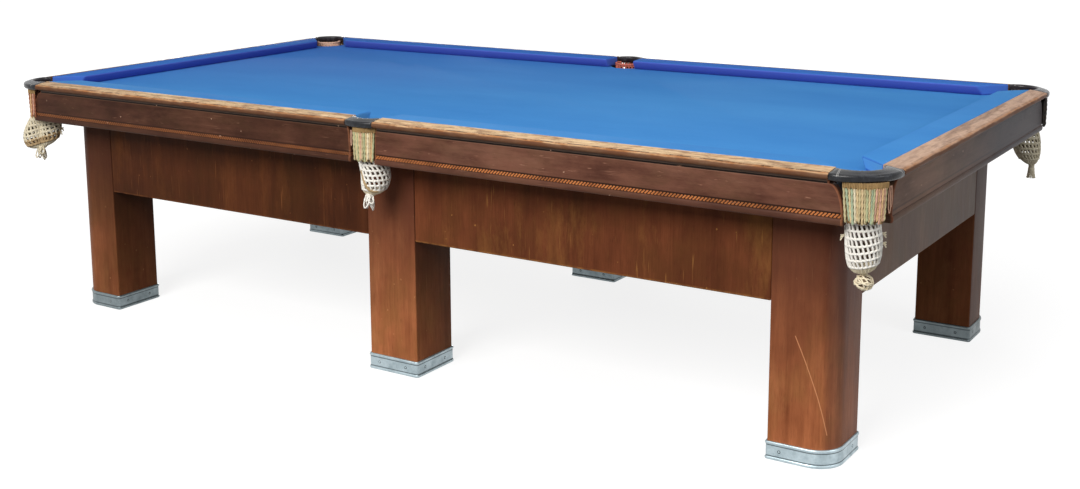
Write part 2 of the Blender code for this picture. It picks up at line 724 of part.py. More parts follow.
# Bearer frame: one spine along the table with cross bearers, under the slate joints and between
spine_half = end_face - APRON_THICKNESS - CLEARANCE
bearer_half = front_face - APRON_THICKNESS - CLEARANCE
spine = board("bed_frame", (-spine_half, -BEAM_WIDTH / 2, BASE_TOP - BEAM_HEIGHT),
              (spine_half, BEAM_WIDTH / 2, BASE_TOP), BEARER_PINE)
outer_bearer = (SLATE_SPLIT + bay_end) / 2
for i, place in enumerate((-outer_bearer, -SLATE_SPLIT, SLATE_SPLIT, outer_bearer)):
    bearer = board(f"bearer_{i}", (place - BEAM_WIDTH / 2, -bearer_half, BASE_TOP - BEAM_HEIGHT + BEAM_STEP),
                   (place + BEAM_WIDTH / 2, bearer_half, BASE_TOP - BEAM_STEP), None, cutters)
    as_guide(bearer)
    boolean(spine, bearer, "UNION")
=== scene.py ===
import json
import math
from contextlib import contextmanager

import bmesh
import bpy
from mathutils import Matrix, Vector


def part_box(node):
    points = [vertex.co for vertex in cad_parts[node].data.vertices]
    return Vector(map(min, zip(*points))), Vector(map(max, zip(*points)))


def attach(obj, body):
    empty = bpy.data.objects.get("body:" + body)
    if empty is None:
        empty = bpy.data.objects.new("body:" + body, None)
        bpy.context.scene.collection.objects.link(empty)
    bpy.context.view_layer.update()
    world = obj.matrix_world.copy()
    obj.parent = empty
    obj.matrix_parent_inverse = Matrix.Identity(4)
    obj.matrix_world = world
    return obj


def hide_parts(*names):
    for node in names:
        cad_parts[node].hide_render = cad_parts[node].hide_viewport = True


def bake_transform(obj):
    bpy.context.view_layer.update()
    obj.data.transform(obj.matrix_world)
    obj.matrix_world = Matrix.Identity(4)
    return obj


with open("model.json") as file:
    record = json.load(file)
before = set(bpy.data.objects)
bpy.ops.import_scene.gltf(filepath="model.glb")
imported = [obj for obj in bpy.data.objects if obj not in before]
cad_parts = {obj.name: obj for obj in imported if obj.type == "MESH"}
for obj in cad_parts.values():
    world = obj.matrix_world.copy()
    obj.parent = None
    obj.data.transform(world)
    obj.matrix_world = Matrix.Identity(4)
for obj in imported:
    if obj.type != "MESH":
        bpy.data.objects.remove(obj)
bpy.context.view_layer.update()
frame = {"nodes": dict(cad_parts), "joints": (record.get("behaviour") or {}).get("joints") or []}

# Camera, floor and studio light: the table stands free on a white floor, seen from its front right corner
# at standing height. A broad lamp lights it from the front, weaker ones from its right end, from above the
# bed and low from behind. The world fills the rest, so that a colour shows about as it is written.
CAMERA_PLACE = (2.59515, -3.99963, 1.49589)
CAMERA_AZIMUTH = math.radians(33.3624)
CAMERA_ELEVATION = math.radians(10.2932)
CAMERA_ROLL = math.radians(-0.4155)
CAMERA_LENS = 47.552
CAMERA_SENSOR = 36.0
CAMERA_SHIFT_X = 0.02977
CAMERA_SHIFT_Y = -0.10074
FLOOR_SIZE = 120.0
FLOOR_TONE = 0.26
NEAR_GLOW = 0.85
FAR_GLOW = 1.0
GLOW_REACH = (1.5, 3.4)
SKY_FILL = 0.14
WHITE = (1.0, 1.0, 1.0, 1.0)
SHINE = "Specular IOR Level"
LAMP_VALUES = ("place", "target", "width", "height", "watts", "tint")
LAMPS = {
    "front_lamp": ((0.3, -6.2, 4.4), (0.2, 0.0, 0.4), 4.0, 3.0, 455.0, (1.0, 0.98, 0.95)),
    "side_lamp": ((5.8, -0.8, 2.8), (1.5, 0.0, 0.6), 2.5, 2.0, 62.0, (0.96, 0.98, 1.0)),
    "bed_lamp": ((1.3, -0.9, 3.8), (0.6, -0.2, 0.8), 4.0, 3.0, 48.0, (1.0, 1.0, 1.0)),
    "back_lamp": ((-4.6, 5.2, 0.7), (0.0, 0.0, 0.5), 4.0, 0.8, 210.0, (1.0, 0.98, 0.95)),
}


class Nodes:
    """A node tree, with short ways to add to it."""

    def __init__(self, tree):
        self.tree = tree

    def join(self, socket, value):
        """Link a socket to a node's output, or set it to a plain value."""
        if isinstance(value, bpy.types.NodeSocket):
            self.tree.links.new(value, socket)
        else:
            socket.default_value = value

    def add(self, kind, inputs=None, **settings):
        """The outputs of a new shader node, its settings made and its inputs joined."""
        node = self.tree.nodes.new("ShaderNode" + kind)
        for name, value in settings.items():
            setattr(node, name, value)
        for name, value in (inputs or {}).items():
            self.join(node.inputs[name], value)
        return node.outputs

    def step(self, operation, first, second=0.0):
        """One step of arithmetic."""
        return self.add("Math", {0: first, 1: second}, operation=operation)[0]


def white_to_eye(nodes):
    """1 for rays that show the white studio itself: to the camera, off gloss and through glass."""
    path = nodes.add("LightPath")
    seen = nodes.step("MAXIMUM", path["Is Camera Ray"], path["Is Glossy Ray"])
    return nodes.step("MAXIMUM", seen, path["Is Transmission Ray"])


def put_in_scene(name, data):
    """A new object in the scene."""
    made = bpy.data.objects.new(name, data)
    bpy.context.scene.collection.objects.link(made)
    return made


back = Vector((math.sin(CAMERA_AZIMUTH) * math.cos(CAMERA_ELEVATION),
               -math.cos(CAMERA_AZIMUTH) * math.cos(CAMERA_ELEVATION), math.sin(CAMERA_ELEVATION)))
level = Vector((0.0, 0.0, 1.0)).cross(back).normalized()
rise = back.cross(level)
across = level * math.cos(CAMERA_ROLL) + rise * math.sin(CAMERA_ROLL)
upward = rise * math.cos(CAMERA_ROLL) - level * math.sin(CAMERA_ROLL)
lens = bpy.data.cameras.new("camera")
lens.sensor_fit = "HORIZONTAL"
lens.sensor_width = CAMERA_SENSOR
lens.lens = CAMERA_LENS
lens.shift_x = CAMERA_SHIFT_X
lens.shift_y = CAMERA_SHIFT_Y
lens.clip_end = FLOOR_SIZE
camera = put_in_scene("camera", lens)
camera.matrix_world = Matrix.Translation(CAMERA_PLACE) @ Matrix((across, upward, back)).transposed().to_4x4()
bpy.context.scene.camera = camera
bpy.context.scene.view_settings.view_transform = "Standard"

world = bpy.data.worlds.new("studio")
world.use_nodes = True
bpy.context.scene.world = world
sky = world.node_tree.nodes["Background"].inputs
sky["Color"].default_value = WHITE
studio = Nodes(world.node_tree)
studio.join(sky["Strength"], studio.step("MAXIMUM", white_to_eye(studio), SKY_FILL))

bpy.ops.mesh.primitive_plane_add(size=FLOOR_SIZE)
floor = bpy.context.object
floor.name = "studio_floor"
floor_paint = bpy.data.materials.new("studio_floor")
floor_paint.use_nodes = True
coat = floor_paint.node_tree.nodes["Principled BSDF"].inputs
coat["Base Color"].default_value = (FLOOR_TONE, FLOOR_TONE, FLOOR_TONE, 1.0)
coat["Roughness"].default_value = 1.0
coat[SHINE].default_value = 0.0
coat["Emission Color"].default_value = WHITE
nodes = Nodes(floor_paint.node_tree)
spot = nodes.add("NewGeometry")["Position"]
away = nodes.add("VectorMath", {0: spot}, operation="LENGTH")["Value"]
reached = nodes.add("MapRange", {"Value": away, "From Min": GLOW_REACH[0], "From Max": GLOW_REACH[1],
                                 "To Min": NEAR_GLOW, "To Max": FAR_GLOW})["Result"]
nodes.join(coat["Emission Strength"], nodes.step("MULTIPLY", white_to_eye(nodes), reached))
floor.data.materials.append(floor_paint)

for name, values in LAMPS.items():
    lamp = dict(zip(LAMP_VALUES, values))
    light = bpy.data.lights.new(name, "AREA")
    light.shape = "RECTANGLE"
    light.size = lamp["width"]
    light.size_y = lamp["height"]
    light.energy = lamp["watts"]
    light.color = lamp["tint"]
    stand = put_in_scene(name, light)
    stand.location = lamp["place"]
    aim = Vector(lamp["target"]) - Vector(lamp["place"])
    stand.rotation_euler = aim.to_track_quat("-Z", "Y").to_euler()

# Legs: six solid posts glued up from mahogany, stained red brown. The middle ones are square, the end ones
# are rounded on their outer corner, and all are rubbed and scratched from use.
SIDES = {"front": -1, "back": 1}
ENDS = {"left": -1, "right": 1}
LEG_ROW = {"left": -1, "middle": 0, "right": 1}
LEG_CORNER = 0.004
LEG_ROUND = 0.070
LEG_STAIN = ((126, 70, 43), (207, 128, 84), (214, 150, 100))
# The next two lines: the colour of the painted shade on the upper legs, for the shade under the table, and
# the heights over which it grows.
LEG_SHADE = (84, 47, 36)
LEG_SHADED_HEIGHTS = (0.52, 0.12)
# Darker copies of the leg colours: painted shade for the back right leg under the table; at the left end
# partly the wood's own darker tone, partly painted shade.
LEG_TONES_AND_SHADE = {"front_left": 0.56, "back_left": 0.56, "back_right": 0.66}
WOOD_SHINE = {SHINE: 0.05}
PORE_BROWN = (34, 19, 12)
SCRATCHED_LEG = "front_right"
SCRATCH_TOP = (0.0717, 0.344)
SCRATCH_FOOT = (0.162, 0.089)
SCRATCH_BOW = 0.009
SCRATCH_EDGE = (0.0018, 0.0008)
SCRATCH_PALE = (212, 146, 104)
# Painted reflection: a grey laid on faces toward the right end, more toward the back, for the sky they
# reflect.
PAINTED_SKY_SHEEN = ("Y", (-1.7, 0.75), 0.64, (88, 85, 84))
# Painted shade: a dark brown on the left and middle legs' faces toward the right end, more toward the top,
# for the shade under the table.
PAINTED_SIDE_SHADE = ("Z", (0.05, 0.60), 0.88, (38, 18, 8))
BARED_FOOT = (0.007, 0.001)


def paint(colour):
    """Three display values from 0 to 255 made linear; a linear colour or an output stays as it is."""
    if isinstance(colour, bpy.types.NodeSocket) or len(colour) == 4:
        return colour
    shares = [value / 255 for value in colour]
    return (*(s / 12.92 if s <= 0.04045 else ((s + 0.055) / 1.055) ** 2.4 for s in shares), 1.0)


def tinted(colour, red, green, blue):
    """A colour with its light scaled channel by channel."""
    return tuple(a * b for a, b in zip(paint(colour), (red, green, blue, 1.0)))


class Patterns(Nodes):
    """A node tree, with short ways to draw patterns."""

    def times(self, first, *others):
        """A product."""
        for other in others:
            first = self.step("MULTIPLY", first, other)
        return first

    def plus(self, first, second):
        """A sum."""
        return self.step("ADD", first, second)

    def minus(self, first, second):
        """A difference."""
        return self.step("SUBTRACT", first, second)

    def scaled(self, value, share, start):
        """A share of a value, counted from a start."""
        return self.plus(self.times(value, share), start)

    def mix(self, share, first, second):
        """Two colours mixed by a share."""
        return self.add("Mix", {0: share, 6: paint(first), 7: paint(second)}, data_type="RGBA")[2]

    def spread(self, value, low, high):
        """A value's way from low to high, as 0 to 1."""
        return self.add("MapRange", {"Value": value, "From Min": low, "From Max": high})["Result"]

    def between(self, value, low, high):
        """1 where a value lies between two others."""
        return self.times(self.step("GREATER_THAN", value, low), self.step("LESS_THAN", value, high))

    def stretch(self, vector, *scale):
        """Coordinates scaled along each axis."""
        return self.add("VectorMath", {0: vector, 1: scale}, operation="MULTIPLY")[0]

    def along(self, vector, share):
        """Coordinates that draw a pattern out along Z."""
        return self.stretch(vector, 1.0, 1.0, share)

    def split(self, vector):
        """The three coordinates of a vector."""
        return self.add("SeparateXYZ", {"Vector": vector})

    def noise(self, vector, scale, detail=3.0, roughness=0.55, distortion=0.0):
        """Cloudy values about one half."""
        return self.add("TexNoise", {"Vector": vector, "Scale": scale, "Detail": detail,
                                     "Roughness": roughness, "Distortion": distortion})["Fac"]

    def cloud(self, vector, scale, low, high, *kind):
        """Clouds between two levels of a noise."""
        return self.spread(self.noise(vector, scale, *kind), low, high)


class Effect(Patterns):
    """A node group that finishes share: named values come out of it for a place that goes in."""

    def __init__(self, name, outputs, **inputs):
        super().__init__(bpy.data.node_groups.new(name, "ShaderNodeTree"))
        sockets = self.tree.interface
        sockets.new_socket("Vector", in_out="INPUT", socket_type="NodeSocketVector")
        for label, value in inputs.items():
            sockets.new_socket(label, in_out="INPUT", socket_type="NodeSocketFloat").default_value = value
        for label in outputs:
            sockets.new_socket(label, in_out="OUTPUT", socket_type="NodeSocketFloat")
        self.given = self.tree.nodes.new("NodeGroupInput").outputs
        self.vector = self.given["Vector"]
        self.out = self.tree.nodes.new("NodeGroupOutput").inputs

    def give(self, label, value):
        """Send a value out."""
        self.join(self.out[label], value)


class Finish(Patterns):
    """A node material whose colour is laid on coat by coat."""

    def __init__(self, name):
        self.material = bpy.data.materials.new(name)
        self.material.use_nodes = True
        super().__init__(self.material.node_tree)
        self.shader = self.tree.nodes["Principled BSDF"].inputs

    def solid(self):
        """The place of a point on a solid, in metres."""
        return self.add("TexCoord")["Object"]

    def board(self):
        """The place of a point on its board, as lay_grain noted it."""
        return self.add("Attribute", attribute_name="board")["Vector"]

    def effect(self, effect, vector, **values):
        """What a shared effect gives at a place."""
        return self.add("Group", {"Vector": vector, **values}, node_tree=effect.tree)

    def base(self, share, first, second):
        """The first coat: two colours mixed by a share."""
        self.colour = self.mix(share, first, second)

    def coat(self, share, cover, colour):
        """A colour over the last coat, by its share of each place and how well it covers."""
        self.colour = self.mix(self.times(share, cover), self.colour, colour)

    def done(self, rough, relief=None, plain=None):
        """The material, with its roughness, relief (height, strength, depth) and plain values."""
        self.join(self.shader["Base Color"], self.colour)
        self.join(self.shader["Roughness"], rough)
        if relief:
            bump = self.add("Bump", dict(zip(("Height", "Strength", "Distance"), relief)))
            self.join(self.shader["Normal"], bump["Normal"])
        for name, value in (plain or {}).items():
            self.shader[name].default_value = value
        return self.material


def arc(centre, radius, start, end, steps):
    """Points on an arc, angles in degrees, both ends included."""
    angles = [math.radians(start + (end - start) * i / steps) for i in range(steps + 1)]
    return [(centre[0] + radius * math.cos(a), centre[1] + radius * math.sin(a)) for a in angles]


def skin(shape, rings, looped=False):
    """Quads through rings of equal count, closed to a loop or with a face over each end. Gives the rows."""
    rows = [[shape.verts.new(point) for point in ring] for ring in rings]
    count = len(rows[0])
    following = rows[1:] + [rows[0]] if looped else rows[1:]
    for lower, upper in zip(rows, following):
        for i in range(count):
            j = (i + 1) % count
            shape.faces.new((lower[i], lower[j], upper[j], upper[i]))
    if not looped:
        shape.faces.new(list(reversed(rows[0])))
        shape.faces.new(rows[-1])
    return rows


def board_shape():
    """An empty shape whose vertices can note their place on a board."""
    shape = bmesh.new()
    shape.verts.layers.float_vector.new("board")
    return shape


def lay_grain(shape, rows, place):
    """Note each vertex's place on its board: across the grain, a shift for each board, along the grain."""
    layer = shape.verts.layers.float_vector["board"]
    for i, row in enumerate(rows):
        for j, vertex in enumerate(row):
            vertex[layer] = place(i, j)


def made_piece(shape, name, finishes, sharp):
    """The shape as an object in the scene, shaded smooth except at edges sharper than an angle in degrees."""
    bmesh.ops.recalc_face_normals(shape, faces=shape.faces)
    mesh = bpy.data.meshes.new(name)
    shape.to_mesh(mesh)
    shape.free()
    for finish in finishes:
        mesh.materials.append(finish)
    mesh.shade_smooth()
    mesh.set_sharp_from_angle(angle=math.radians(sharp))
    return put_in_scene(name, mesh)


def table_piece(shape, name, node, finishes, sharp):
    """A made piece that the table carries in place of a CAD node."""
    piece = made_piece(shape, name, finishes, sharp)
    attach(piece, "table")
    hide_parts(node)
    return piece


def wood_grain():
    """Grain along Z: broad streaks, fine fibres and short open pores."""
    grain = Effect("wood_grain", ("Streak", "Fibre", "Pore"), Streaks=30.0)
    drawn = grain.along(grain.vector, 0.06)
    streaks = grain.given["Streaks"]
    grain.give("Streak", grain.cloud(drawn, streaks, 0.34, 0.66, 4.0, 0.6, 0.7))
    grain.give("Fibre", grain.cloud(drawn, grain.times(streaks, 8.0), 0.32, 0.68, 3.0, 0.6))
    grain.give("Pore", grain.cloud(grain.along(grain.vector, 0.035), 900.0, 0.62, 0.72, 1.0))
    return grain


def knocks():
    """What use leaves: small nicks, patches rubbed along the grain and fine straight scratches."""
    use = Effect("knocks", ("Nick", "Rub", "Scratch"))
    shaken = use.add("TexNoise", {"Vector": use.vector, "Scale": 60.0})["Color"]
    wander = use.stretch(shaken, 0.012, 0.012, 0.012)
    bent = use.add("VectorMath", {0: use.vector, 1: wander}, operation="ADD")[0]
    cells = use.add("TexVoronoi", {"Vector": bent, "Scale": 38.0})
    chance = use.add("SeparateColor", {"Color": cells["Color"]})
    spot = use.step("LESS_THAN", cells["Distance"], use.times(chance["Green"], 0.15))
    use.give("Nick", use.times(use.spread(chance["Red"], 0.78, 0.84), spot))
    use.give("Rub", use.cloud(use.along(use.vector, 0.30), 9.0, 0.52, 0.70, 6.0, 0.68))
    lines = use.cloud(use.along(use.vector, 0.04), 230.0, 0.66, 0.74, 1.0)
    use.give("Scratch", use.times(lines, use.cloud(use.vector, 6.0, 0.47, 0.60)))
    return use


WOOD_GRAIN = wood_grain()
KNOCKS = knocks()


def paint_end_light(wood, axis, reach, cover, colour):
    """Painted light on faces toward the right end: a colour laid more and more over a reach along an axis."""
    seen = wood.add("NewGeometry")
    facing = wood.spread(wood.split(seen["Normal"])["X"], 0.5, 0.9)
    reached = wood.spread(wood.split(seen["Position"])[axis], *reach)
    wood.coat(wood.times(facing, reached), cover, colour)


def long_scratch(wood, vector):
    """One pale bowed line drawn across the grain between two points of the board."""
    run = SCRATCH_FOOT[0] - SCRATCH_TOP[0]
    fall = SCRATCH_TOP[1] - SCRATCH_FOOT[1]
    spot = wood.split(vector)
    down = wood.step("DIVIDE", wood.minus(SCRATCH_TOP[1], spot["Z"]), fall)
    bow = wood.times(wood.step("SINE", wood.times(down, math.pi)), SCRATCH_BOW)
    line = wood.plus(wood.scaled(down, run, SCRATCH_TOP[0]), bow)
    thin = wood.spread(wood.step("ABSOLUTE", wood.minus(spot["X"], line)), *SCRATCH_EDGE)
    inside = wood.between(down, 0.0, 1.0)
    wood.coat(wood.times(thin, wood.cloud(vector, 40.0, 0.15, 0.40), inside), 0.85, SCRATCH_PALE)


def mahogany(name, place, dark, light, worn, bleached=None, foot=None, painted_end_light=None, scratched=False):
    """Stained mahogany, its grain along Z of the place given: clouds, streaks, pores, rubs and scratches.

    Bleached is a painted shade and the heights over which it grows toward the top, for the shade under
    the table. Foot is the height of an edge that has been knocked bare. Painted end light lays a colour on
    the faces toward the right end: a grey that paints the sky's reflection, a dark one that paints shade."""
    wood = Finish(name)
    vector = place(wood)
    height = wood.split(vector)["Z"]
    grain = wood.effect(WOOD_GRAIN, vector, Streaks=26.0)
    use = wood.effect(KNOCKS, vector)
    cloud = wood.cloud(wood.along(vector, 0.55), 5.0, 0.32, 0.68, 4.0, 0.6)
    drift = wood.cloud(wood.along(vector, 0.60), 8.0, 0.46, 0.66, 5.0, 0.65)
    tone = wood.plus(wood.times(grain["Streak"], 0.32), wood.times(cloud, 0.68))
    wood.base(wood.spread(tone, 0.10, 0.90), dark, light)
    wood.coat(drift, 0.50, tinted(light, 0.52, 0.68, 0.52))
    wood.coat(grain["Fibre"], 0.32, dark)
    wood.coat(grain["Pore"], 0.35, PORE_BROWN)
    for mark, cover in (("Rub", 0.28), ("Scratch", 0.50), ("Nick", 0.60)):
        wood.coat(use[mark], cover, worn)
    # Painted shade: darker toward the top of the leg, for the shade under the table.
    if bleached:
        shade, (kept, faded) = bleached
        wood.coat(wood.spread(height, faded, kept), 0.85, shade)
    if foot is not None:
        knocked = wood.cloud(vector, 30.0, 0.35, 0.60, 4.0)
        edge = wood.spread(height, *(foot + rise for rise in BARED_FOOT))
        wood.coat(wood.times(edge, knocked), 0.70, worn)
    # Painted light on the faces toward the right end.
    if painted_end_light:
        paint_end_light(wood, *painted_end_light)
    if scratched:
        long_scratch(wood, vector)
    rough = wood.scaled(wood.plus(use["Rub"], grain["Fibre"]), 0.10, 0.40)
    relief = wood.minus(wood.times(grain["Fibre"], 0.4), grain["Pore"])
    return wood.done(rough, (relief, 0.25, 0.0004), WOOD_SHINE)


def leg_ring(leg, grow, z):
    """A leg's outline at a height, from its front left corner, pushed out by grow."""
    end, side, low, high = leg
    middle = (low + high) / 2
    half = (high - low) / 2
    ring = []
    for cx, cy, start in ((-1, -1, 180), (1, -1, -90), (1, 1, 0), (-1, 1, 90)):
        outer = end and cx == end and cy == side
        radius = (LEG_ROUND if outer else LEG_CORNER) + grow
        centre = (middle.x + cx * (half.x + grow - radius), middle.y + cy * (half.y + grow - radius))
        ring += [(x, y, z) for x, y in arc(centre, radius, start, start + 90, 24 if outer else 4)]
    return ring


def walked(points):
    """How far along a line each of its points lies."""
    lengths = [0.0]
    for before, after in zip(points, points[1:]):
        lengths.append(lengths[-1] + math.dist(before, after))
    return lengths


LEGS = {}
for side_name, side in SIDES.items():
    for end_name, end in LEG_ROW.items():
        place = f"{side_name}_{end_name}"
        LEGS[place] = (end, side, *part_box(f"leg_{place}"))

for place, leg in LEGS.items():
    end, side, low, high = leg
    heights = (low.z, high.z)
    rings = [leg_ring(leg, 0.0, z) for z in heights]
    around = walked(rings[0])
    shape = board_shape()
    rows = skin(shape, rings)
    shift = 3.1 * end + 7.7 * side
    lay_grain(shape, rows, lambda i, j: (around[j], shift, heights[i]))
    # Some legs take darker copies of their colours: painted shade, at the left end partly their own tone.
    tone = LEG_TONES_AND_SHADE.get(place, 1.0)
    dark, light, worn, shade = (tinted(colour, tone, tone, tone) for colour in (*LEG_STAIN, LEG_SHADE))
    stained = mahogany(f"leg_mahogany_{place}", Finish.board, dark, light, worn,
                       bleached=(shade, LEG_SHADED_HEIGHTS), painted_end_light=PAINTED_SKY_SHEEN if end == 1 else PAINTED_SIDE_SHADE,
                       scratched=place == SCRATCHED_LEG)
    table_piece(shape, f"leg_post_{place}", f"leg_{place}", [stained], sharp=30)

# Shoes: a galvanised sheet-metal sleeve round the foot of each leg, with a rolled bead at the floor and
# another at its lip, nailed to the wood through its flat band.
SHOE_WALL = 0.0030
SHOE_BEAD = 0.0025
SHOE_BEAD_HEIGHT = 0.009
SHOE_FLOOR = 0.002
SHOE_GAP = 0.0003
SHOE_LINE_HALF = 0.0014
# How lit each shoe is: the others are darkened by painted shade, toward the left end and at the back of the
# table.
SHOE_SHADE_TONES = {"front_right": 1.0, "front_middle": 0.92, "front_left": 0.42, "back_right": 0.27}
OTHER_SHOES_SHADE = 0.5
NAIL_RADIUS = 0.0030
NAIL_SHARES = (0.20, 0.76)
NAIL_CLEAR = 0.2
NAIL_RINGS = ((NAIL_RADIUS, 0.45), (NAIL_RADIUS * 1.5, 0.10))


@contextmanager
def coloured(shape, finish):
    """Give the faces made meanwhile one of the piece's finishes, by its number."""
    first = len(shape.faces)
    yield
    shape.faces.ensure_lookup_table()
    for face in shape.faces[first:]:
        face.material_index = finish


def scored(nodes, value, at, half):
    """A line where a value reaches a level."""
    off = nodes.step("ABSOLUTE", nodes.minus(value, at))
    return nodes.spread(off, half * 1.3, half * 0.7)


def rolled_bead(foot):
    """(outward, height) up a rolled bead that starts at a height."""
    return [(SHOE_BEAD * out, foot + SHOE_BEAD_HEIGHT * (up + 1) / 2)
            for out, up in arc((0.0, 0.0), 1.0, -90, 90, 8)]


def nail_dirt():
    """Dirt and rust that has gathered round a nail."""
    dirt = Finish("nail_dirt")
    dirt.base(dirt.noise(dirt.solid(), 300.0), (30, 36, 40), (66, 70, 70))
    return dirt.done(0.8)


def galvanised(place, lit_share, lip):
    """Zinc sheet gone grey blue, with spangle and stains; less lit shoes are darkened by painted shade.

    Dark lines run just under the upper bead, which ends at the lip, and just over the lower bead."""
    zinc = Finish(f"galvanised_sheet_{place}")
    vector = zinc.solid()
    height = zinc.split(vector)["Z"]
    flakes = zinc.add("TexVoronoi", {"Vector": vector, "Scale": 140.0})["Color"]
    stain = zinc.cloud(vector, 22.0, 0.35, 0.70, 5.0, 0.65)
    zinc.base(stain, (190, 207, 214), (146, 163, 170))
    zinc.coat(zinc.add("SeparateColor", {"Color": flakes})["Red"], 0.20, (214, 226, 230))
    # Painted shade: a dark grey over the whole sheet of a less lit shoe.
    zinc.coat(1.0, 1.0 - lit_share, (58, 62, 60))
    for level in (SHOE_BEAD_HEIGHT + SHOE_LINE_HALF, lip - SHOE_BEAD_HEIGHT - SHOE_LINE_HALF):
        zinc.coat(scored(zinc, height, level, SHOE_LINE_HALF), 0.75, (44, 52, 56))
    drawn = zinc.noise(zinc.along(vector, 9.0), 45.0, 4.0)
    return zinc.done(zinc.scaled(stain, 0.20, 0.30), (drawn, 0.25, 0.0006), {"Metallic": 0.75})


def nail_head(shape, place, outward):
    """A low domed nail head that stands on the sheet, in a ring of dirt."""
    turn = outward.to_track_quat("Z", "Y").to_matrix().to_4x4()
    for finish, (radius, height) in enumerate(NAIL_RINGS):
        flat = Matrix.Diagonal((1.0, 1.0, height, 1.0))
        with coloured(shape, finish):
            bmesh.ops.create_uvsphere(shape, u_segments=12, v_segments=6, radius=radius,
                                      matrix=Matrix.Translation(place) @ turn @ flat)


NAIL_DIRT = nail_dirt()
for place, leg in LEGS.items():
    end, side, low, high = leg
    middle = (low + high) / 2
    half = (high - low) / 2
    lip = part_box(f"shoe_{place}")[1].z
    wall = SHOE_GAP + SHOE_WALL
    levels = [(wall + out, z) for foot in (0.0, lip - SHOE_BEAD_HEIGHT) for out, z in rolled_bead(foot)]
    levels += [(SHOE_GAP, lip), (SHOE_GAP, SHOE_FLOOR)]
    shape = bmesh.new()
    skin(shape, [leg_ring(leg, grow, z) for grow, z in levels])
    for share in NAIL_SHARES:
        reach = 2 * share - 1
        for facing in SIDES.values():
            if not (facing == side and reach * end > NAIL_CLEAR):
                nail_head(shape, (middle.x + half.x * reach, middle.y + facing * (half.y + wall), lip / 2),
                          Vector((0.0, facing, 0.0)))
            if not (facing == end and reach * side > NAIL_CLEAR):
                nail_head(shape, (middle.x + facing * (half.x + wall), middle.y + half.y * reach, lip / 2),
                          Vector((facing, 0.0, 0.0)))
    sheet = galvanised(place, SHOE_SHADE_TONES.get(place, OTHER_SHOES_SHADE), lip)
    table_piece(shape, f"shoe_sleeve_{place}", f"shoe_{place}", [sheet, NAIL_DIRT], sharp=60)

# Aprons: wide mahogany-veneered boards between the legs, almost flush with them, with the grain upright.
# They are screwed to the legs from behind, and carry most of the rubs and streaks.
apron_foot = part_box("apron_front_right")[0].z
VENEERS = {
    "right": mahogany("apron_veneer", Finish.solid, (82, 43, 26), (128, 72, 45), (178, 124, 66),
                      foot=apron_foot),
    # The left end's darker copy: partly the wood's own tone, partly painted shade.
    "left": mahogany("dark_shaded_apron_veneer", Finish.solid, (60, 31, 17), (93, 51, 29), (130, 80, 46),
                     foot=apron_foot),
}
# A lighter, greyer copy for the end aprons: painted light from the sky on the ends.
SKY_LIT_END_VENEER = mahogany("sky_lit_end_apron_veneer", Finish.solid, (96, 66, 49), (137, 100, 75), (156, 122, 97),
                      foot=apron_foot, painted_end_light=PAINTED_SKY_SHEEN)


def dress_node(name, material):
    """Give a CAD node its finish."""
    slots = frame["nodes"][name].data.materials
    slots.clear()
    slots.append(material)


for end_name in ENDS:
    for side_name in SIDES:
        dress_node(f"apron_{side_name}_{end_name}", VENEERS[end_name])
    dress_node(f"apron_end_{end_name}", SKY_LIT_END_VENEER)

# Bearer frame and slates: pine beams across the base, and on them three slabs of slate that butt together
# under the cloth. Both are hidden but for their edges at the pockets and from below.
def bearer_pine():
    """Rough-sawn pine."""
    pine = Finish("bearer_pine")
    spot = pine.split(pine.solid())
    turned = pine.add("CombineXYZ", {"X": spot["Z"], "Y": spot["Y"], "Z": spot["X"]})[0]
    grain = pine.effect(WOOD_GRAIN, turned, Streaks=34.0)
    pine.base(grain["Streak"], (176, 138, 92), (205, 170, 120))
    pine.coat(grain["Fibre"], 0.4, (140, 100, 62))
    return pine.done(pine.scaled(grain["Fibre"], 0.15, 0.65), (grain["Fibre"], 0.4, 0.0008))


def slate_stone():
    """Sawn grey slate."""
    slate = Finish("sawn_slate")
    vector = slate.solid()
    layer = slate.noise(slate.along(vector, 12.0), 30.0, 5.0)
    cloud = slate.noise(vector, 6.0, 4.0)
    slate.base(slate.spread(layer, 0.35, 0.65), (40, 44, 50), (62, 67, 73))
    slate.coat(slate.spread(cloud, 0.45, 0.70), 1.0, (52, 52, 53))
    return slate.done(slate.scaled(cloud, 0.2, 0.6), (layer, 0.3, 0.0006))


dress_node("bed_frame", bearer_pine())
SLATE_STONE = slate_stone()
for place in LEG_ROW:
    dress_node(f"slate_{place}", SLATE_STONE)

# Bed cloth: one sheet of blue wool cloth stretched over the slates, cut away at the pockets and turned
# down over the round edge of the stone there.
CLOTH_ROLL = 0.0035
CLOTH_DROP = 0.016
SLATE_CUT = 0.0640
CORNER_REACH = 0.055
SIDE_REACH = 0.075
CLOTH_BLUES = ((62, 130, 197), (74, 144, 207), (50, 110, 183))
CLOTH_FAR_SHADE = (58, 92, 190)
FAR_SLOPE = 1.3
FAR_REACH = (-0.1, 2.1)
FAR_SHARE = 0.50
# Painted light: a paler blue for the upright ends of the near cushions, which lie in shade.
JAW_PAINTED_LIGHT = (96, 166, 226)

cloth_low, cloth_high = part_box("bed_cloth")
bed_top = cloth_high.z
nose_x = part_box("cushion_end_right")[0].x
nose_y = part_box("cushion_back_right")[0].y
cloth_edge = cloth_high.x - nose_x


def cloth_nap():
    """Short wool nap: soft clouds where it lies another way, and a fine felted grain."""
    nap = Effect("cloth_nap", ("Cloud", "Felt"))
    nap.give("Cloud", nap.cloud(nap.stretch(nap.vector, 0.35, 1.0, 1.0), 3.4, 0.32, 0.68, 5.0, 0.6))
    nap.give("Felt", nap.cloud(nap.vector, 1400.0, 0.30, 0.70, 2.0))
    return nap


CLOTH_NAP = cloth_nap()


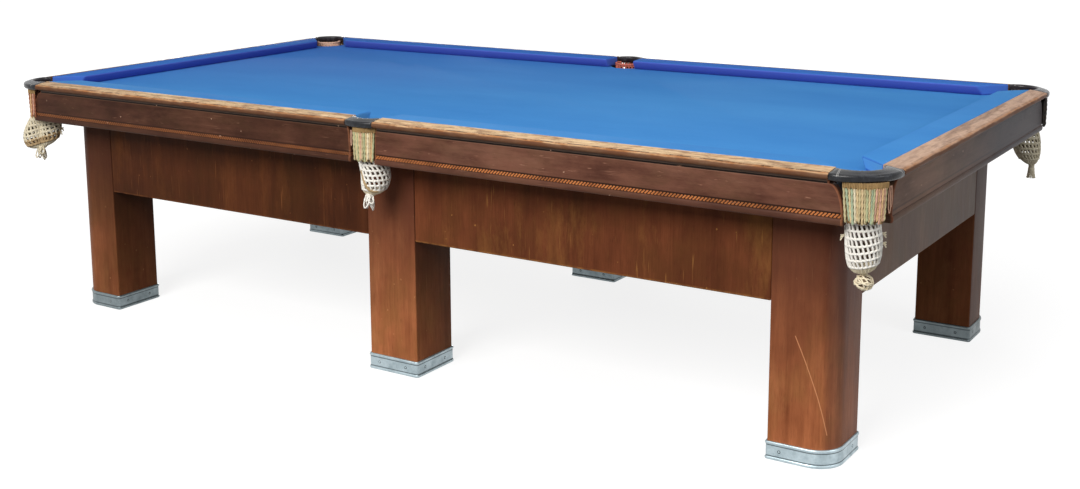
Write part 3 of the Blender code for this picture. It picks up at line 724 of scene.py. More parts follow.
def wool_cloth(name, plain, pale, deep, face=None, far=None, jaw_light=0.0):
    """Napped wool cloth. Face is a painted shade: a deeper colour laid on the upright sides of a cushion.

    Far is a painted shade toward the bed's back left corner, which lies in less light.
    Jaw is how much painted light lies on the folded ends of a cushion: a paler blue on their upright sides."""
    wool = Finish(name)
    vector = wool.solid()
    nap = wool.effect(CLOTH_NAP, vector)
    wool.base(nap["Cloud"], plain, pale)
    wool.coat(nap["Felt"], 0.30, deep)
    # Painted shade: darker toward the bed's back left corner.
    if far:
        spot = wool.split(vector)
        away = wool.minus(wool.times(spot["Y"], FAR_SLOPE), spot["X"])
        wool.coat(wool.spread(away, *FAR_REACH), FAR_SHARE, far)
    # Painted shade on upright sides, less of it toward the folded ends.
    if face:
        flank = wool.spread(wool.split(wool.add("NewGeometry")["Normal"])["Z"], 0.85, 0.15)
        folded = wool.split(wool.board())["X"]
        wool.coat(flank, wool.scaled(folded, -0.75, 1.0), face)
        # Painted light on the upright ends of a cushion.
        wool.coat(wool.times(wool.spread(folded, 0.78, 0.90), flank), jaw_light, JAW_PAINTED_LIGHT)
    plain_values = {SHINE: 0.10, "Sheen Weight": 0.12, "Sheen Roughness": 0.5, "Sheen Tint": paint(pale)}
    return wool.done(wool.scaled(nap["Felt"], 0.1, 0.85), (nap["Felt"], 0.25, 0.0003), plain_values)


def corner_bite(radius):
    """The round bite at a corner, outward from the noses' corner, from the long edge to the end edge."""
    reach = math.sqrt(radius ** 2 - (cloth_edge - CORNER_REACH) ** 2)
    start = math.degrees(math.atan2(cloth_edge - CORNER_REACH, -reach))
    return arc((CORNER_REACH, CORNER_REACH), radius, start, 450 - start, 32)


def side_bite(radius):
    """The round bite at a side pocket, along and outward from the middle of the long nose."""
    start = math.degrees(math.asin((cloth_edge - SIDE_REACH) / radius))
    return arc((0.0, SIDE_REACH), radius, 180 - start, 360 + start, 32)


def bed_edge(radius):
    """The cloth's whole edge, as runs: bites and the straight edges between them, front to back."""
    runs = []
    for side in SIDES.values():
        end = -side
        corner = [(end * (nose_x + a), nose_y + b) for a, b in corner_bite(radius)]
        runs.append([(end * a, side * (nose_y + b)) for a, b in side_bite(radius)])
        runs.append([(x, side * y) for x, y in corner])
        runs.append([(x, -side * y) for x, y in reversed(corner)])
    return runs


shape = bmesh.new()
flat_edge = []
for run in bed_edge(SLATE_CUT + CLOTH_ROLL):
    flat_edge.append([shape.verts.new((x, y, bed_top)) for x, y in run])
shape.faces.new([vertex for run in flat_edge for vertex in run])
cloth_fall = [(SLATE_CUT + CLOTH_ROLL - out, bed_top - CLOTH_ROLL + up)
              for up, out in arc((0.0, 0.0), CLOTH_ROLL, 0, 90, 5)][1:]
cloth_fall.append((SLATE_CUT, bed_top - CLOTH_DROP))
for number, upper in enumerate(flat_edge):
    for radius, z in cloth_fall:
        lower = [shape.verts.new((x, y, z)) for x, y in bed_edge(radius)[number]]
        for i in range(len(upper) - 1):
            shape.faces.new((upper[i], upper[i + 1], lower[i + 1], lower[i]))
        upper = lower
BED_WOOL = wool_cloth("bed_wool", *CLOTH_BLUES, far=CLOTH_FAR_SHADE)
bed = table_piece(shape, "bed_cloth_sheet", "bed_cloth", [BED_WOOL], sharp=60)

# Cushions: rubber strips glued to the rails and covered with the same blue cloth, which is drawn tight over
# the round nose and folded round the ends at the pockets.
CUSHION_DEPTH = 0.081
CUSHION_UNDERCUT = 0.014
NOSE_RADIUS = 0.0045
CUSHION_CROWN = 0.0008
CUSHION_TUCK = 0.0012
CUSHION_HEEL = 0.001
CUSHION_END_ROUND = 0.006
CUSHION_FOLDS = 6
CORNER_MOUTH = 0.085
SIDE_MOUTH = 0.058
SIDE_THROAT = 0.0505
IRON_OVERLAP = 0.004
FIT = 0.0003
# How strongly the side-pocket ends of the long cushions count as folded: less painted shade, more painted
# light.
SIDE_JAW_FADES = {SIDES["front"]: 1.33, SIDES["back"]: 0.40}

rail_bottom, rail_top = (corner.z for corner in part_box("cushion_back_right"))
# The face colours given to the cushions are painted shade on their upright sides.
CUSHION_WOOL = wool_cloth("cushion_wool", *CLOTH_BLUES, face=(56, 84, 186), jaw_light=0.65)
# A darker copy of the cloth for the cushions at the back and the left end: painted shade.
FAR_SHADED_WOOL = wool_cloth("far_shaded_cushion_wool", (54, 106, 188), (62, 116, 196), (48, 94, 178), face=(82, 98, 186))
CUSHION_COVERS = {"back_left": FAR_SHADED_WOOL, "back_right": FAR_SHADED_WOOL, "end_left": FAR_SHADED_WOOL}


def long_run(end, side):
    """Place (along, outward, height) on a long rail; along grows from the side pocket to the corner."""
    return lambda t, s, z: (end * t, side * (nose_y + s), z)


def end_run(end):
    """Place (along, outward, height) on an end rail; along grows from the front to the back."""
    return lambda t, s, z: (end * (nose_x + s), t, z)


def cushion_profile():
    """(outward, height) round a cushion: nose, crowned top tucked in at the cap, back and undercut face."""
    points = arc((NOSE_RADIUS, rail_top - NOSE_RADIUS), NOSE_RADIUS, 205, 90, 12)
    for i in range(1, 10):
        share = i / 10
        points.append((NOSE_RADIUS + (CUSHION_DEPTH - NOSE_RADIUS) * share,
                       rail_top + CUSHION_CROWN * math.sin(math.pi * share)))
    points += [(CUSHION_DEPTH - CUSHION_TUCK, rail_top), (CUSHION_DEPTH, rail_top - CUSHION_TUCK)]
    points += [(CUSHION_DEPTH, rail_bottom), (CUSHION_UNDERCUT + NOSE_RADIUS, rail_bottom)]
    return points + [(CUSHION_UNDERCUT, rail_bottom + CUSHION_HEEL)]


def drawn_in(spot, amount):
    """A profile point drawn in towards the middle line of the cushion."""
    half = (rail_top - rail_bottom) / 2
    core = Vector((min(max(spot[0], half), CUSHION_DEPTH - half), rail_bottom + half))
    away = Vector(spot) - core
    return core + away * (1 - amount / away.length)


def cushion_ends(half, side, s):
    """Where a cushion starts and ends: a straight cut at a corner pocket, a slight splay at a side pocket."""
    corner = half - CORNER_MOUTH + (CORNER_MOUTH - IRON_OVERLAP - FIT) * s / CUSHION_DEPTH
    return SIDE_MOUTH + (SIDE_THROAT - SIDE_MOUTH) * s / CUSHION_DEPTH if side else -corner, corner


RAILS = {}
for side_name, side in SIDES.items():
    for end_name, end in ENDS.items():
        RAILS[f"{side_name}_{end_name}"] = (end, side, long_run(end, side), nose_x)
for end_name, end in ENDS.items():
    RAILS[f"end_{end_name}"] = (end, 0, end_run(end), nose_y)

fold_turns = [math.pi / 2 * i / (CUSHION_FOLDS - 1) for i in range(CUSHION_FOLDS)]
fold_stations = [(CUSHION_END_ROUND * (1 - math.sin(turn)), CUSHION_END_ROUND * (1 - math.cos(turn)))
                 for turn in fold_turns]
for place, (end, side, run, half) in RAILS.items():
    rings = []
    for last, stations in enumerate((reversed(fold_stations), fold_stations)):
        for margin, amount in stations:
            spots = [drawn_in(spot, amount) for spot in cushion_profile()]
            inward = -margin if last else margin
            rings.append([run(cushion_ends(half, side, s)[last] + inward, s, z) for s, z in spots])
    shape = board_shape()
    rows = skin(shape, rings)
    fades = [SIDE_JAW_FADES.get(side, 1.0)] * CUSHION_FOLDS + [1.0] * CUSHION_FOLDS
    lay_grain(shape, rows, lambda i, j: (fades[i] * abs(i - CUSHION_FOLDS + 0.5) / CUSHION_FOLDS, 0.0, 0.0))
    cover = CUSHION_COVERS.get(place, CUSHION_WOOL)
    piece = table_piece(shape, f"cushion_cover_{place}", f"cushion_{place}", [cover],
                        sharp=50)

# Rails: walnut caps with a bull nose, on sub-rails that are bolted to the bed. Hands and cues have worn the
# finish off in patches down to the pale wood, and dirt lies in the open grain.
CAP_THICKNESS = 0.0155
CAP_FALL = 0.0055
CAP_EASE = 0.001
RAIL_FOOT_DEPTH = 0.0957
CRACK_WANDER = 0.014
CRACK_SET = 0.0065
CRACK_EDGE = (0.0034, 0.0018)
CRACK_BLACK = (34, 22, 14)
NOSE_RAGGED = 0.012
NOSE_START = (-0.006, 0.003)
NOSE_UNDER = (0.0120, 0.0150)
NOSE_SHADE = (88, 58, 45)
cap_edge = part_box("rail_back_right")[1].y - nose_y
cap_inner = CUSHION_DEPTH + FIT
cap_nose = cap_edge - (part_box("blind_back_right")[1].y - nose_y) - FIT
cap_flat = cap_edge - cap_nose - cap_inner
corner_stop = IRON_OVERLAP + FIT


def rail_profile():
    """(outward, height) round a rail: foot, eased inner edge, top that falls away, and hanging bull nose."""
    points = [(cap_edge - cap_nose, rail_top - CAP_THICKNESS), (RAIL_FOOT_DEPTH, rail_top - CAP_THICKNESS)]
    points += [(RAIL_FOOT_DEPTH, rail_bottom), (cap_inner, rail_bottom)]
    points += arc((cap_inner + CAP_EASE, rail_top - CAP_EASE), CAP_EASE, 180, 90, 3)
    points += [(cap_inner + cap_flat * i / 8, rail_top - CAP_FALL * (i / 8) ** 1.3) for i in range(1, 8)]
    return points + arc((cap_edge - cap_nose, rail_top - CAP_FALL - cap_nose), cap_nose, 90, -90, 14)


def worn_walnut(name, bare, stained, dirt, nose, grimy=1.0):
    """Walnut worn in patches: bare or stained, orange on the nose, dirt in the grain and in a crack."""
    wood = Finish(name)
    vector = wood.board()
    outward = wood.split(vector)["X"]
    drawn = wood.along(vector, 0.14)
    blotched = wood.along(vector, 0.40)
    length = wood.stretch(vector, 0.0, 1.0, 1.0)
    grain = wood.effect(WOOD_GRAIN, vector, Streaks=70.0)
    use = wood.effect(KNOCKS, vector)
    patch = wood.cloud(drawn, 30.0, 0.38, 0.60, 5.0, 0.65)
    dash = wood.cloud(wood.along(vector, 0.03), 260.0, 0.56, 0.66, 4.0, 0.7)
    fleck = wood.cloud(wood.along(vector, 0.26), 90.0, 0.55, 0.66, 5.0, 0.75)
    greyed = wood.cloud(blotched, 52.0, 0.50, 0.64, 4.0, 0.65)
    rolled = wood.spread(outward, *(cap_flat + off for off in NOSE_START))
    rubbed = wood.cloud(blotched, 44.0, 0.62, 0.40, 4.0, 0.6)
    grime = wood.cloud(drawn, 16.0, 0.52, 0.66, 5.0, 0.7)
    wander = wood.times(wood.noise(length, 6.0), CRACK_WANDER)
    crack = wood.step("ABSOLUTE", wood.minus(wood.plus(outward, wander), cap_flat + CRACK_SET))
    opened = wood.cloud(length, 24.0, 0.46, 0.54, 5.0, 0.75)
    split = wood.times(wood.spread(crack, *CRACK_EDGE), opened)
    ragged = wood.times(wood.noise(drawn, 60.0, 5.0, 0.7), NOSE_RAGGED)
    under = wood.spread(wood.plus(outward, ragged), *(cap_flat + off for off in NOSE_UNDER))
    wood.base(grain["Streak"], stained, bare)
    wood.coat(patch, 0.72, bare)
    wood.coat(greyed, 0.72, tinted(dirt, 3.2, 3.6, 4.0))
    wood.coat(rolled, wood.scaled(rubbed, 0.6, 0.35), nose)
    wood.coat(grain["Fibre"], 0.35, stained)
    wood.coat(dash, 0.60 * grimy, dirt)
    wood.coat(fleck, 0.55 * grimy, dirt)
    wood.coat(grime, 0.62, dirt)
    wood.coat(split, 0.9 * grimy, CRACK_BLACK)
    wood.coat(use["Nick"], 0.5, dirt)
    wood.coat(under, 0.85, NOSE_SHADE)
    relief = wood.minus(wood.times(grain["Fibre"], 0.3), wood.step("MAXIMUM", dash, split))
    return wood.done(wood.scaled(patch, 0.2, 0.44), (relief, 0.4, 0.0006), WOOD_SHINE)


WALNUT = worn_walnut("worn_walnut", (244, 216, 174), (158, 108, 70), (76, 52, 38), (168, 110, 66))
# A greyer copy for the right end cap: painted light from the sky on that end.
SKY_LIT_END_WALNUT = worn_walnut("sky_lit_walnut", (212, 180, 158), (158, 124, 101), (92, 70, 58), (176, 124, 84),
                         grimy=0.35)
KEPT_WALNUT = worn_walnut("kept_walnut", (112, 78, 52), (78, 50, 32), (40, 28, 22), (96, 62, 38))
CAP_WALNUT = {"front_left": WALNUT, "front_right": WALNUT, "end_right": SKY_LIT_END_WALNUT}

profile = rail_profile()
around = walked(profile)
inner_edge = max(range(len(profile)), key=lambda j: profile[j][1])
for place, (end, side, run, half) in RAILS.items():
    cuts = (SIDE_THROAT if side else corner_stop - half, half - corner_stop)
    shift = 1.7 * end + 4.3 * side if side else 9.1 * end
    shape = board_shape()
    rows = skin(shape, [[run(t, s, z) for s, z in profile] for t in cuts])
    lay_grain(shape, rows, lambda i, j: (around[j] - around[inner_edge], shift, cuts[i]))
    walnut = CAP_WALNUT.get(place, KEPT_WALNUT)
    table_piece(shape, f"rail_cap_{place}", f"rail_{place}", [walnut], sharp=35)

# Blinds: mahogany boards hung under the caps to hide the slate edge, with a cove at the top, a bead along
# the foot and a string of slanted inlay between two lines above it. Their ends sweep out to the pockets.
COVE_HEIGHT = 0.0185
COVE_DEPTH = 0.010
COVE_LINE = 0.0045
COVE_EDGE = 0.0005
BARED_SET = 0.0012
BARED_HALF = 0.0009
BEAD_HEIGHT = 0.017
BEAD_DEPTH = 0.0035
BLIND_TAIL = 0.036
CORNER_BLIND_SETBACK = 0.006
SIDE_BLIND_TAIL = 0.0055
BLIND_LIP = 0.005
LIP_STEPS = 5
INLAY_FOOT = 0.6948
INLAY_TOP = 0.7060
INLAY_LINE = 0.7088
INLAY_PITCH = 0.0095
INLAY_SLANT = 0.80
INLAY_BEND = 0.10
INLAY_SCORE = 0.0008
BEAD_EDGE = 0.001
INLAY_WOODS = ((208, 132, 76), (172, 102, 62))
# Painted shade: a dark blue grey on the end blinds' faces toward the right end, more toward the back.
PAINTED_END_SHADE = ("Y", (-0.40, 0.22), 0.88, (26, 25, 36))

blind_low, blind_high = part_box("blind_back_right")
blind_top = blind_high.z
blind_bottom = blind_low.z
blind_back = blind_low.y - nose_y
blind_face = blind_high.y - nose_y - COVE_DEPTH
cove_foot = blind_top - COVE_HEIGHT
bead_top = blind_bottom + BEAD_HEIGHT


def blind_levels():
    """(outward, height) down a blind's face."""
    levels = []
    for i in range(11):
        angle = math.pi / 2 * i / 10
        levels.append((blind_face + COVE_DEPTH * (1 - math.sin(angle)),
                       blind_top - COVE_HEIGHT * (1 - math.cos(angle))))
    for i in range(1, 15):
        levels.append((blind_face, cove_foot + (bead_top - cove_foot) * (1 - math.cos(math.pi / 2 * i / 14))))
    for out, up in arc((0.0, 0.0), 1.0, 90, -90, 10)[1:]:
        levels.append((blind_face + BEAD_DEPTH * out, blind_bottom + BEAD_HEIGHT * (up + 1) / 2))
    return levels


def blind_ends(half, side, z):
    """Where a blind starts and ends at a height: its ends sweep out from under the cove to the bead."""
    drop = min(max((cove_foot - z) / (cove_foot - bead_top), 0.0), 1.0)
    sweep = math.sqrt(1 - (1 - drop) ** 2)
    corner = half - CORNER_BLIND_SETBACK + BLIND_TAIL * sweep
    return SIDE_THROAT - SIDE_BLIND_TAIL * sweep if side else -corner, corner


def inlaid_string(wood, spot):
    """Slanted inlay like the turns of a rope: each piece bends at both ends, with a dark gap to the next."""
    height = wood.step("DIVIDE", wood.minus(spot["X"], INLAY_FOOT), INLAY_TOP - INLAY_FOOT)
    bend = wood.times(wood.step("SINE", wood.times(height, 2 * math.pi)), INLAY_BEND)
    slant = wood.minus(wood.times(height, INLAY_SLANT), bend)
    count = wood.minus(wood.step("DIVIDE", spot["Z"], INLAY_PITCH), slant)
    turn = wood.step("ABSOLUTE", wood.minus(wood.step("FRACT", count), 0.5))
    off = wood.step("ABSOLUTE", wood.minus(height, 0.5))
    return wood.times(wood.spread(turn, 0.36, 0.24), wood.spread(off, 0.50, 0.40))


def inlaid_mahogany(name, dark, light, worn, inlay, cove, painted_end_light=None):
    """Dark stained mahogany with grain along the board, light nicks and the inlaid string above its foot.

    Inlay is how much of the string still shows. Cove is how much the hollow under the cap is greyed, with
    a black line at its foot that paints the shadow of the nose. Painted end light lays a painted shade on the
    faces toward the right end."""
    wood = Finish(name)
    vector = wood.board()
    spot = wood.split(vector)
    height = spot["X"]
    grain = wood.effect(WOOD_GRAIN, vector, Streaks=40.0)
    use = wood.effect(KNOCKS, vector)
    half_drawn = wood.along(vector, 0.5)
    cloud = wood.cloud(half_drawn, 11.0, 0.35, 0.65, 5.0, 0.6)
    drift = wood.cloud(half_drawn, 17.0, 0.48, 0.66, 5.0, 0.65)
    tone = wood.plus(wood.times(grain["Streak"], 0.30), wood.times(cloud, 0.70))
    let_in = wood.between(height, INLAY_FOOT, INLAY_LINE)
    kept = wood.times(wood.cloud(vector, 7.0, 0.20, 0.55, 4.0), inlay)
    flaked = wood.cloud(wood.along(vector, 0.16), 120.0, 0.66, 0.71, 3.0, 0.6)
    wood.base(wood.spread(tone, 0.12, 0.88), dark, light)
    wood.coat(drift, 0.45, tinted(light, 0.60, 0.72, 0.58))
    wood.coat(grain["Pore"], 0.4, (28, 16, 12))
    wood.coat(use["Rub"], 0.28, worn)
    wood.coat(let_in, inlay * 0.85, (38, 22, 16))
    wood.coat(inlaid_string(wood, spot), kept, wood.mix(grain["Fibre"], *INLAY_WOODS))
    for level in (INLAY_FOOT, INLAY_TOP, INLAY_LINE):
        wood.coat(scored(wood, height, level, INLAY_SCORE), 0.60, (34, 24, 20))
    wood.coat(wood.spread(height, cove_foot - COVE_EDGE, cove_foot + COVE_EDGE), cove, (112, 95, 85))
    # Painted shadow: a black line at the foot of the hollow, under the cap's nose.
    wood.coat(scored(wood, height, cove_foot + COVE_LINE / 2, COVE_LINE / 2), cove, (14, 12, 12))
    wood.coat(scored(wood, height, cove_foot - BARED_SET, BARED_HALF), 0.40, worn)
    wood.coat(wood.spread(height, INLAY_FOOT, INLAY_FOOT - BEAD_EDGE), 0.35, (70, 47, 38))
    wood.coat(flaked, 0.75, worn)
    wood.coat(use["Nick"], 0.70, (196, 158, 134))
    wood.coat(use["Scratch"], 0.60, worn)
    # Painted shade on the faces toward the right end.
    if painted_end_light:
        paint_end_light(wood, *painted_end_light)
    relief = wood.minus(grain["Fibre"], grain["Pore"])
    return wood.done(wood.scaled(use["Rub"], 0.15, 0.42), (relief, 0.2, 0.0004), WOOD_SHINE)


INLAID = inlaid_mahogany("inlaid_mahogany", (76, 46, 37), (116, 77, 62), (154, 112, 92), 1.0, 0.94)
# The left end's darker copy, with fainter inlay: partly the wood's own tone, partly painted shade.
DARK_SHADED_INLAID = inlaid_mahogany("dark_shaded_inlaid_mahogany", (58, 35, 27), (88, 57, 44), (126, 90, 70), 0.48, 0.94)
# A lighter, greyer copy for the end blinds: painted light from the sky on the ends.
SKY_LIT_END_INLAID = inlaid_mahogany("sky_lit_mahogany", (84, 60, 48), (121, 92, 76), (140, 114, 98), 0.12, 0.35,
                             painted_end_light=PAINTED_END_SHADE)
WORN_LIP = mahogany("worn_lip", Finish.board, (104, 64, 48), (160, 104, 76), (196, 136, 100))
# A grey copy of the lip for the back corners: painted shade.
SHADED_GREY_LIP = mahogany("shaded_grey_lip", Finish.board, (60, 52, 49), (92, 82, 77), (112, 100, 94))
BLIND_FINISHES = {
    "front_left": (DARK_SHADED_INLAID, WORN_LIP, WORN_LIP), "front_right": (INLAID, WORN_LIP, WORN_LIP),
    "back_left": (DARK_SHADED_INLAID, WORN_LIP, WORN_LIP), "back_right": (INLAID, WORN_LIP, SHADED_GREY_LIP),
    "end_left": (SKY_LIT_END_INLAID, WORN_LIP, SHADED_GREY_LIP), "end_right": (SKY_LIT_END_INLAID, WORN_LIP, SHADED_GREY_LIP),
}

levels = blind_levels()
for place, (end, side, run, half) in RAILS.items():
    rings = []
    for s, z in levels:
        near, far = blind_ends(half, side, z)
        flat = [(near, blind_back), (far, blind_back)]
        flat += arc((far - BLIND_LIP, s - BLIND_LIP), BLIND_LIP, 0, 90, LIP_STEPS)
        flat += arc((near + BLIND_LIP, s - BLIND_LIP), BLIND_LIP, 90, 180, LIP_STEPS)
        rings.append([run(t, out, z) for t, out in flat])
    shape = board_shape()
    rows = skin(shape, rings)
    for number, face in enumerate(shape.faces):
        column = number % len(rings[0])
        if 2 <= column < 2 + LIP_STEPS:
            face.material_index = 2
        if 3 + LIP_STEPS <= column < 3 + 2 * LIP_STEPS:
            face.material_index = 1
    near, far = blind_ends(half, side, blind_top)
    shift = 2.3 * end + 5.9 * side if side else 6.7 * end
    lay_grain(shape, rows, lambda i, j: (levels[i][1], shift, far if 1 <= j < 3 + LIP_STEPS else near))
    table_piece(shape, f"blind_board_{place}", f"blind_{place}", BLIND_FINISHES[place],
                sharp=40)

# Pocket irons: cast bows wrapped in black hide, which carry on the line of the caps round each pocket. The
# hide is drawn tight over a rolled edge and bound with a pale worn seam near each end.
IRON_ARC_INSET = 0.011
IRON_WIDTH = 0.034
IRON_ROUND = 0.0075
SIDE_IRON_BULGE = 0.009
SIDE_IRON_HOLLOW = 0.030
HIDE_STEPS = 44
HIDE_CROWN = 0.0008
HIDE_END_DRAW = 0.0022
CORNER_SEAM = 0.095
SIDE_SEAM = 0.040
SEAM_DEPTH = 0.0005
SEAM_THREADS = ((1.0, 0.040), (1.16, 0.028))

iron_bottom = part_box("fringe_front_right")[1].z + FIT


def hide_grain():
    """Pebbled hide with creases."""
    grain = Effect("hide_grain", ("Pebble", "Crease"))
    grain.give("Pebble", grain.add("TexVoronoi", {"Vector": grain.vector, "Scale": 620.0})["Distance"])
    grain.give("Crease", grain.cloud(grain.vector, 60.0, 0.48, 0.62, 5.0, 0.7))
    return grain


HIDE_GRAIN = hide_grain()


def black_hide():
    """Black hide, polished by hands on top, greyed where it is rubbed, red brown where the dye has gone."""
    hide = Finish("black_hide")
    vector = hide.solid()
    mark = hide.split(hide.board())
    grain = hide.effect(HIDE_GRAIN, vector)
    rub = hide.cloud(vector, 34.0, 0.42, 0.68, 5.0, 0.65)
    facing_up = hide.split(hide.add("NewGeometry")["Normal"])["Z"]
    threads = hide.step("MAXIMUM", *(scored(hide, mark["Z"], at, half) for at, half in SEAM_THREADS))
    hide.base(rub, (20, 21, 25), (46, 48, 54))
    hide.coat(grain["Crease"], 0.3, (20, 19, 21))
    hide.coat(mark["X"], 0.12, (70, 44, 38))
    hide.coat(hide.times(threads, hide.spread(facing_up, 0.1, 0.5)), 0.42, (206, 204, 200))
    return hide.done(hide.scaled(rub, 0.18, 0.17), (grain["Pebble"], 0.3, 0.0006), {SHINE: 0.27})


BLACK_HIDE = black_hide()


def hide_section(inner, outer, draw):
    """A round-edged oblong from inner to outer, falling outward like the caps, drawn in by a seam."""
    reach = (outer - inner).length
    run = (outer - inner) / reach
    r = IRON_ROUND
    spots = arc((r, iron_bottom + r), r, 270, 180, 5) + arc((r, rail_top - r), r, 180, 90, 6)
    for i in range(1, 5):
        share = i / 5
        crown = HIDE_CROWN * math.sin(math.pi * share)
        spots.append((r + (reach - 2 * r) * share, rail_top - CAP_FALL * share + crown))
    spots += arc((reach - r, rail_top - CAP_FALL - r), r, 90, 0, 6)
    spots += arc((reach - r, iron_bottom + r), r, 0, -90, 5)
    middle = Vector((reach / 2, (iron_bottom + rail_top) / 2))
    points = []
    for spot in spots:
        away = Vector(spot) - middle
        u, z = middle + away * (1 - draw / away.length)
        points.append((*(inner + run * u), z))
    return points


def corner_edges(share):
    """Inner and outer edge of a corner iron at a share of its length, outward from the noses' corner."""
    near = -IRON_OVERLAP
    outer_radius = cap_edge - IRON_ARC_INSET
    crown = IRON_ARC_INSET + (outer_radius - IRON_WIDTH) / math.sqrt(2)
    centre = (2 * crown ** 2 - near ** 2 - CUSHION_DEPTH ** 2) / (4 * crown - 2 * near - 2 * CUSHION_DEPTH)
    radius = math.sqrt(2) * (crown - centre)
    start = math.atan2(near - centre, CUSHION_DEPTH - centre)
    angle = start + (math.pi / 2 - 2 * start) * share
    inner = (centre + radius * math.cos(angle), centre + radius * math.sin(angle))
    straight = IRON_ARC_INSET + IRON_OVERLAP
    length = 2 * straight + outer_radius * math.pi / 2
    walk = share * length
    if walk < straight:
        return inner, (cap_edge, near + walk)
    if walk > length - straight:
        return inner, (near + length - walk, cap_edge)
    turn = (walk - straight) / outer_radius
    return inner, tuple(IRON_ARC_INSET + outer_radius * part for part in (math.cos(turn), math.sin(turn)))


def side_edges(share):
    """Inner and outer edge of a side iron at a share of its length, from the middle of the long nose."""
    u = 2 * share - 1
    along = (SIDE_THROAT - FIT) * u
    outer = cap_edge + SIDE_IRON_BULGE * (1 - u ** 2)
    inner = cap_edge + SIDE_IRON_BULGE - IRON_WIDTH - SIDE_IRON_HOLLOW * u ** 2
    return (along, inner), (along, outer)


def corner_spot(end, side):
    """Place (a, b) measured outward from the corner of the two cushion noses."""
    return lambda a, b: Vector((end * (nose_x + a), side * (nose_y + b)))


def side_spot(side):
    """Place (a, b) measured from the middle of the long cushion nose, b outward."""
    return lambda a, b: Vector((a, side * (nose_y + b)))


POCKETS = {}
for side_name, side in SIDES.items():
    for end_name, end in ENDS.items():
        POCKETS[f"{side_name}_{end_name}"] = (corner_spot(end, side), corner_edges,
                                              (CORNER_REACH, CORNER_REACH), CORNER_SEAM)
    POCKETS[f"{side_name}_middle"] = (side_spot(side), side_edges, (0.0, SIDE_REACH), SIDE_SEAM)

for place, (spot, edges, centre, seam) in POCKETS.items():
    rings = []
    from_seam = []
    for i in range(HIDE_STEPS + 1):
        share = i / HIDE_STEPS
        from_end = min(share, 1 - share)
        draw = SEAM_DEPTH * max(0.0, 1 - abs(from_end - seam) * HIDE_STEPS)
        draw += HIDE_END_DRAW * max(0.0, 1 - from_end * HIDE_STEPS / 2)
        rings.append(hide_section(*(spot(*edge) for edge in edges(share)), draw))
        from_seam.append(from_end / seam)
    shape = board_shape()
    rows = skin(shape, rings)
    lay_grain(shape, rows, lambda i, j: (1.0 if 3 <= j <= 10 else 0.0, 0.0, from_seam[i]))
    table_piece(shape, f"pocket_leather_{place}", f"iron_{place}", [BLACK_HIDE], sharp=60)

# Fringes: bullion of thick two-ply cords under a wound band, sewn to the underside of each pocket leather.
# The dyes have faded unevenly: green, tan, orange and pink cords hang side by side.
FRINGE_RADIUS = 0.061
FRINGE_LENGTH = 0.102
FRINGE_RAGGED = 0.009
FRINGE_OVAL = 0.010
OVAL_REACH = 65
OVAL_MIDDLE = 45
FRINGE_TAPER = 0.13
CORNER_SPAN = (110, -20)
FRINGE_SPANS = {"front_right": (112, 9), "front_middle": (109, 39), "back_middle": (132, 48),
                "front_left": (120, 94)}
CORD_PITCH = 0.0059
CORD_RADIUS = 0.0029
CORD_PLY = 0.20
CORD_LAY = 66.0
CORD_STEPS = 30
CORD_ROWS = (0.0, 0.0046)
CORD_STAND = 0.0006
CORD_BOW = 0.0010
BAND_HEIGHT = 0.020
BAND_CORD_PITCH = 0.0034
BAND_CORD = 0.0019
BAND_STAND = 0.0018
LOOP_WIDTH = 5.0
LOOP_CORD = 0.0012
LOOP_DROP = 0.012
LOOSE_LOOPS = {"front_right": ((-59, 0.066), (-65, 0.052)), "front_middle": ((49, 0.046),)}
YARN_SOIL = (120, 98, 70)
CORD_COLOURS = {
    "teal": (178, 194, 164), "green": (190, 194, 152), "olive": (206, 192, 150), "tan": (226, 202, 158),
    "pale": (240, 228, 196), "orange": (224, 186, 140), "pink": (222, 176, 152), "rust": (164, 102, 78),
    "band": (172, 141, 96), "shade": (140, 112, 76), "shade_grey": (80, 76, 74),
}
FARTHER_ORDER = "pink rust orange tan pink rust rust tan pink rust orange".split()
FRINGE_ORDER = {
    "front_right": ("olive teal tan teal pale tan olive tan olive green tan teal green "
                    "pink orange pink orange pink").split(),
    "front_middle": "olive green tan green tan pink olive green tan pale tan orange green".split(),
    "front_left": "rust pink rust orange rust pink rust rust orange".split(),
    "back_right": FARTHER_ORDER[:9] + 14 * ["shade_grey"],
}
# Painted shade: the inner row of cords is darker for the shade between the cords; at the back right pocket
# the band, the inner row and the last outer cords are a dark grey for the shade there.
FRINGE_UNDERTONES = {"back_right": ("shade_grey", "shade_grey")}


def yarn_fibres():
    """Spun yarn: fibres that wind round the cord, and dust in its hollows."""
    yarn = Effect("yarn", ("Fibre", "Dust"))
    yarn.give("Fibre", yarn.cloud(yarn.vector, 900.0, 0.30, 0.70, 3.0, 0.65))
    yarn.give("Dust", yarn.cloud(yarn.vector, 70.0, 0.45, 0.72, 4.0))
    return yarn


YARN = yarn_fibres()


def yarn_finish(name, colour, soiled):
    """A dyed or bleached yarn, soiled in places."""
    thread = Finish(name)
    yarn = thread.effect(YARN, thread.solid())
    thread.base(thread.times(yarn["Fibre"], 0.28), colour, tinted(colour, 0.62, 0.62, 0.62))
    thread.coat(yarn["Dust"], 0.30, soiled)
    return thread.done(thread.scaled(yarn["Fibre"], 0.1, 0.82), (yarn["Fibre"], 0.5, 0.0006), {SHINE: 0.15})


YARNS = [yarn_finish(f"yarn_{name}", colour, YARN_SOIL) for name, colour in CORD_COLOURS.items()]
YARN_NUMBER = {name: i for i, name in enumerate(CORD_COLOURS)}


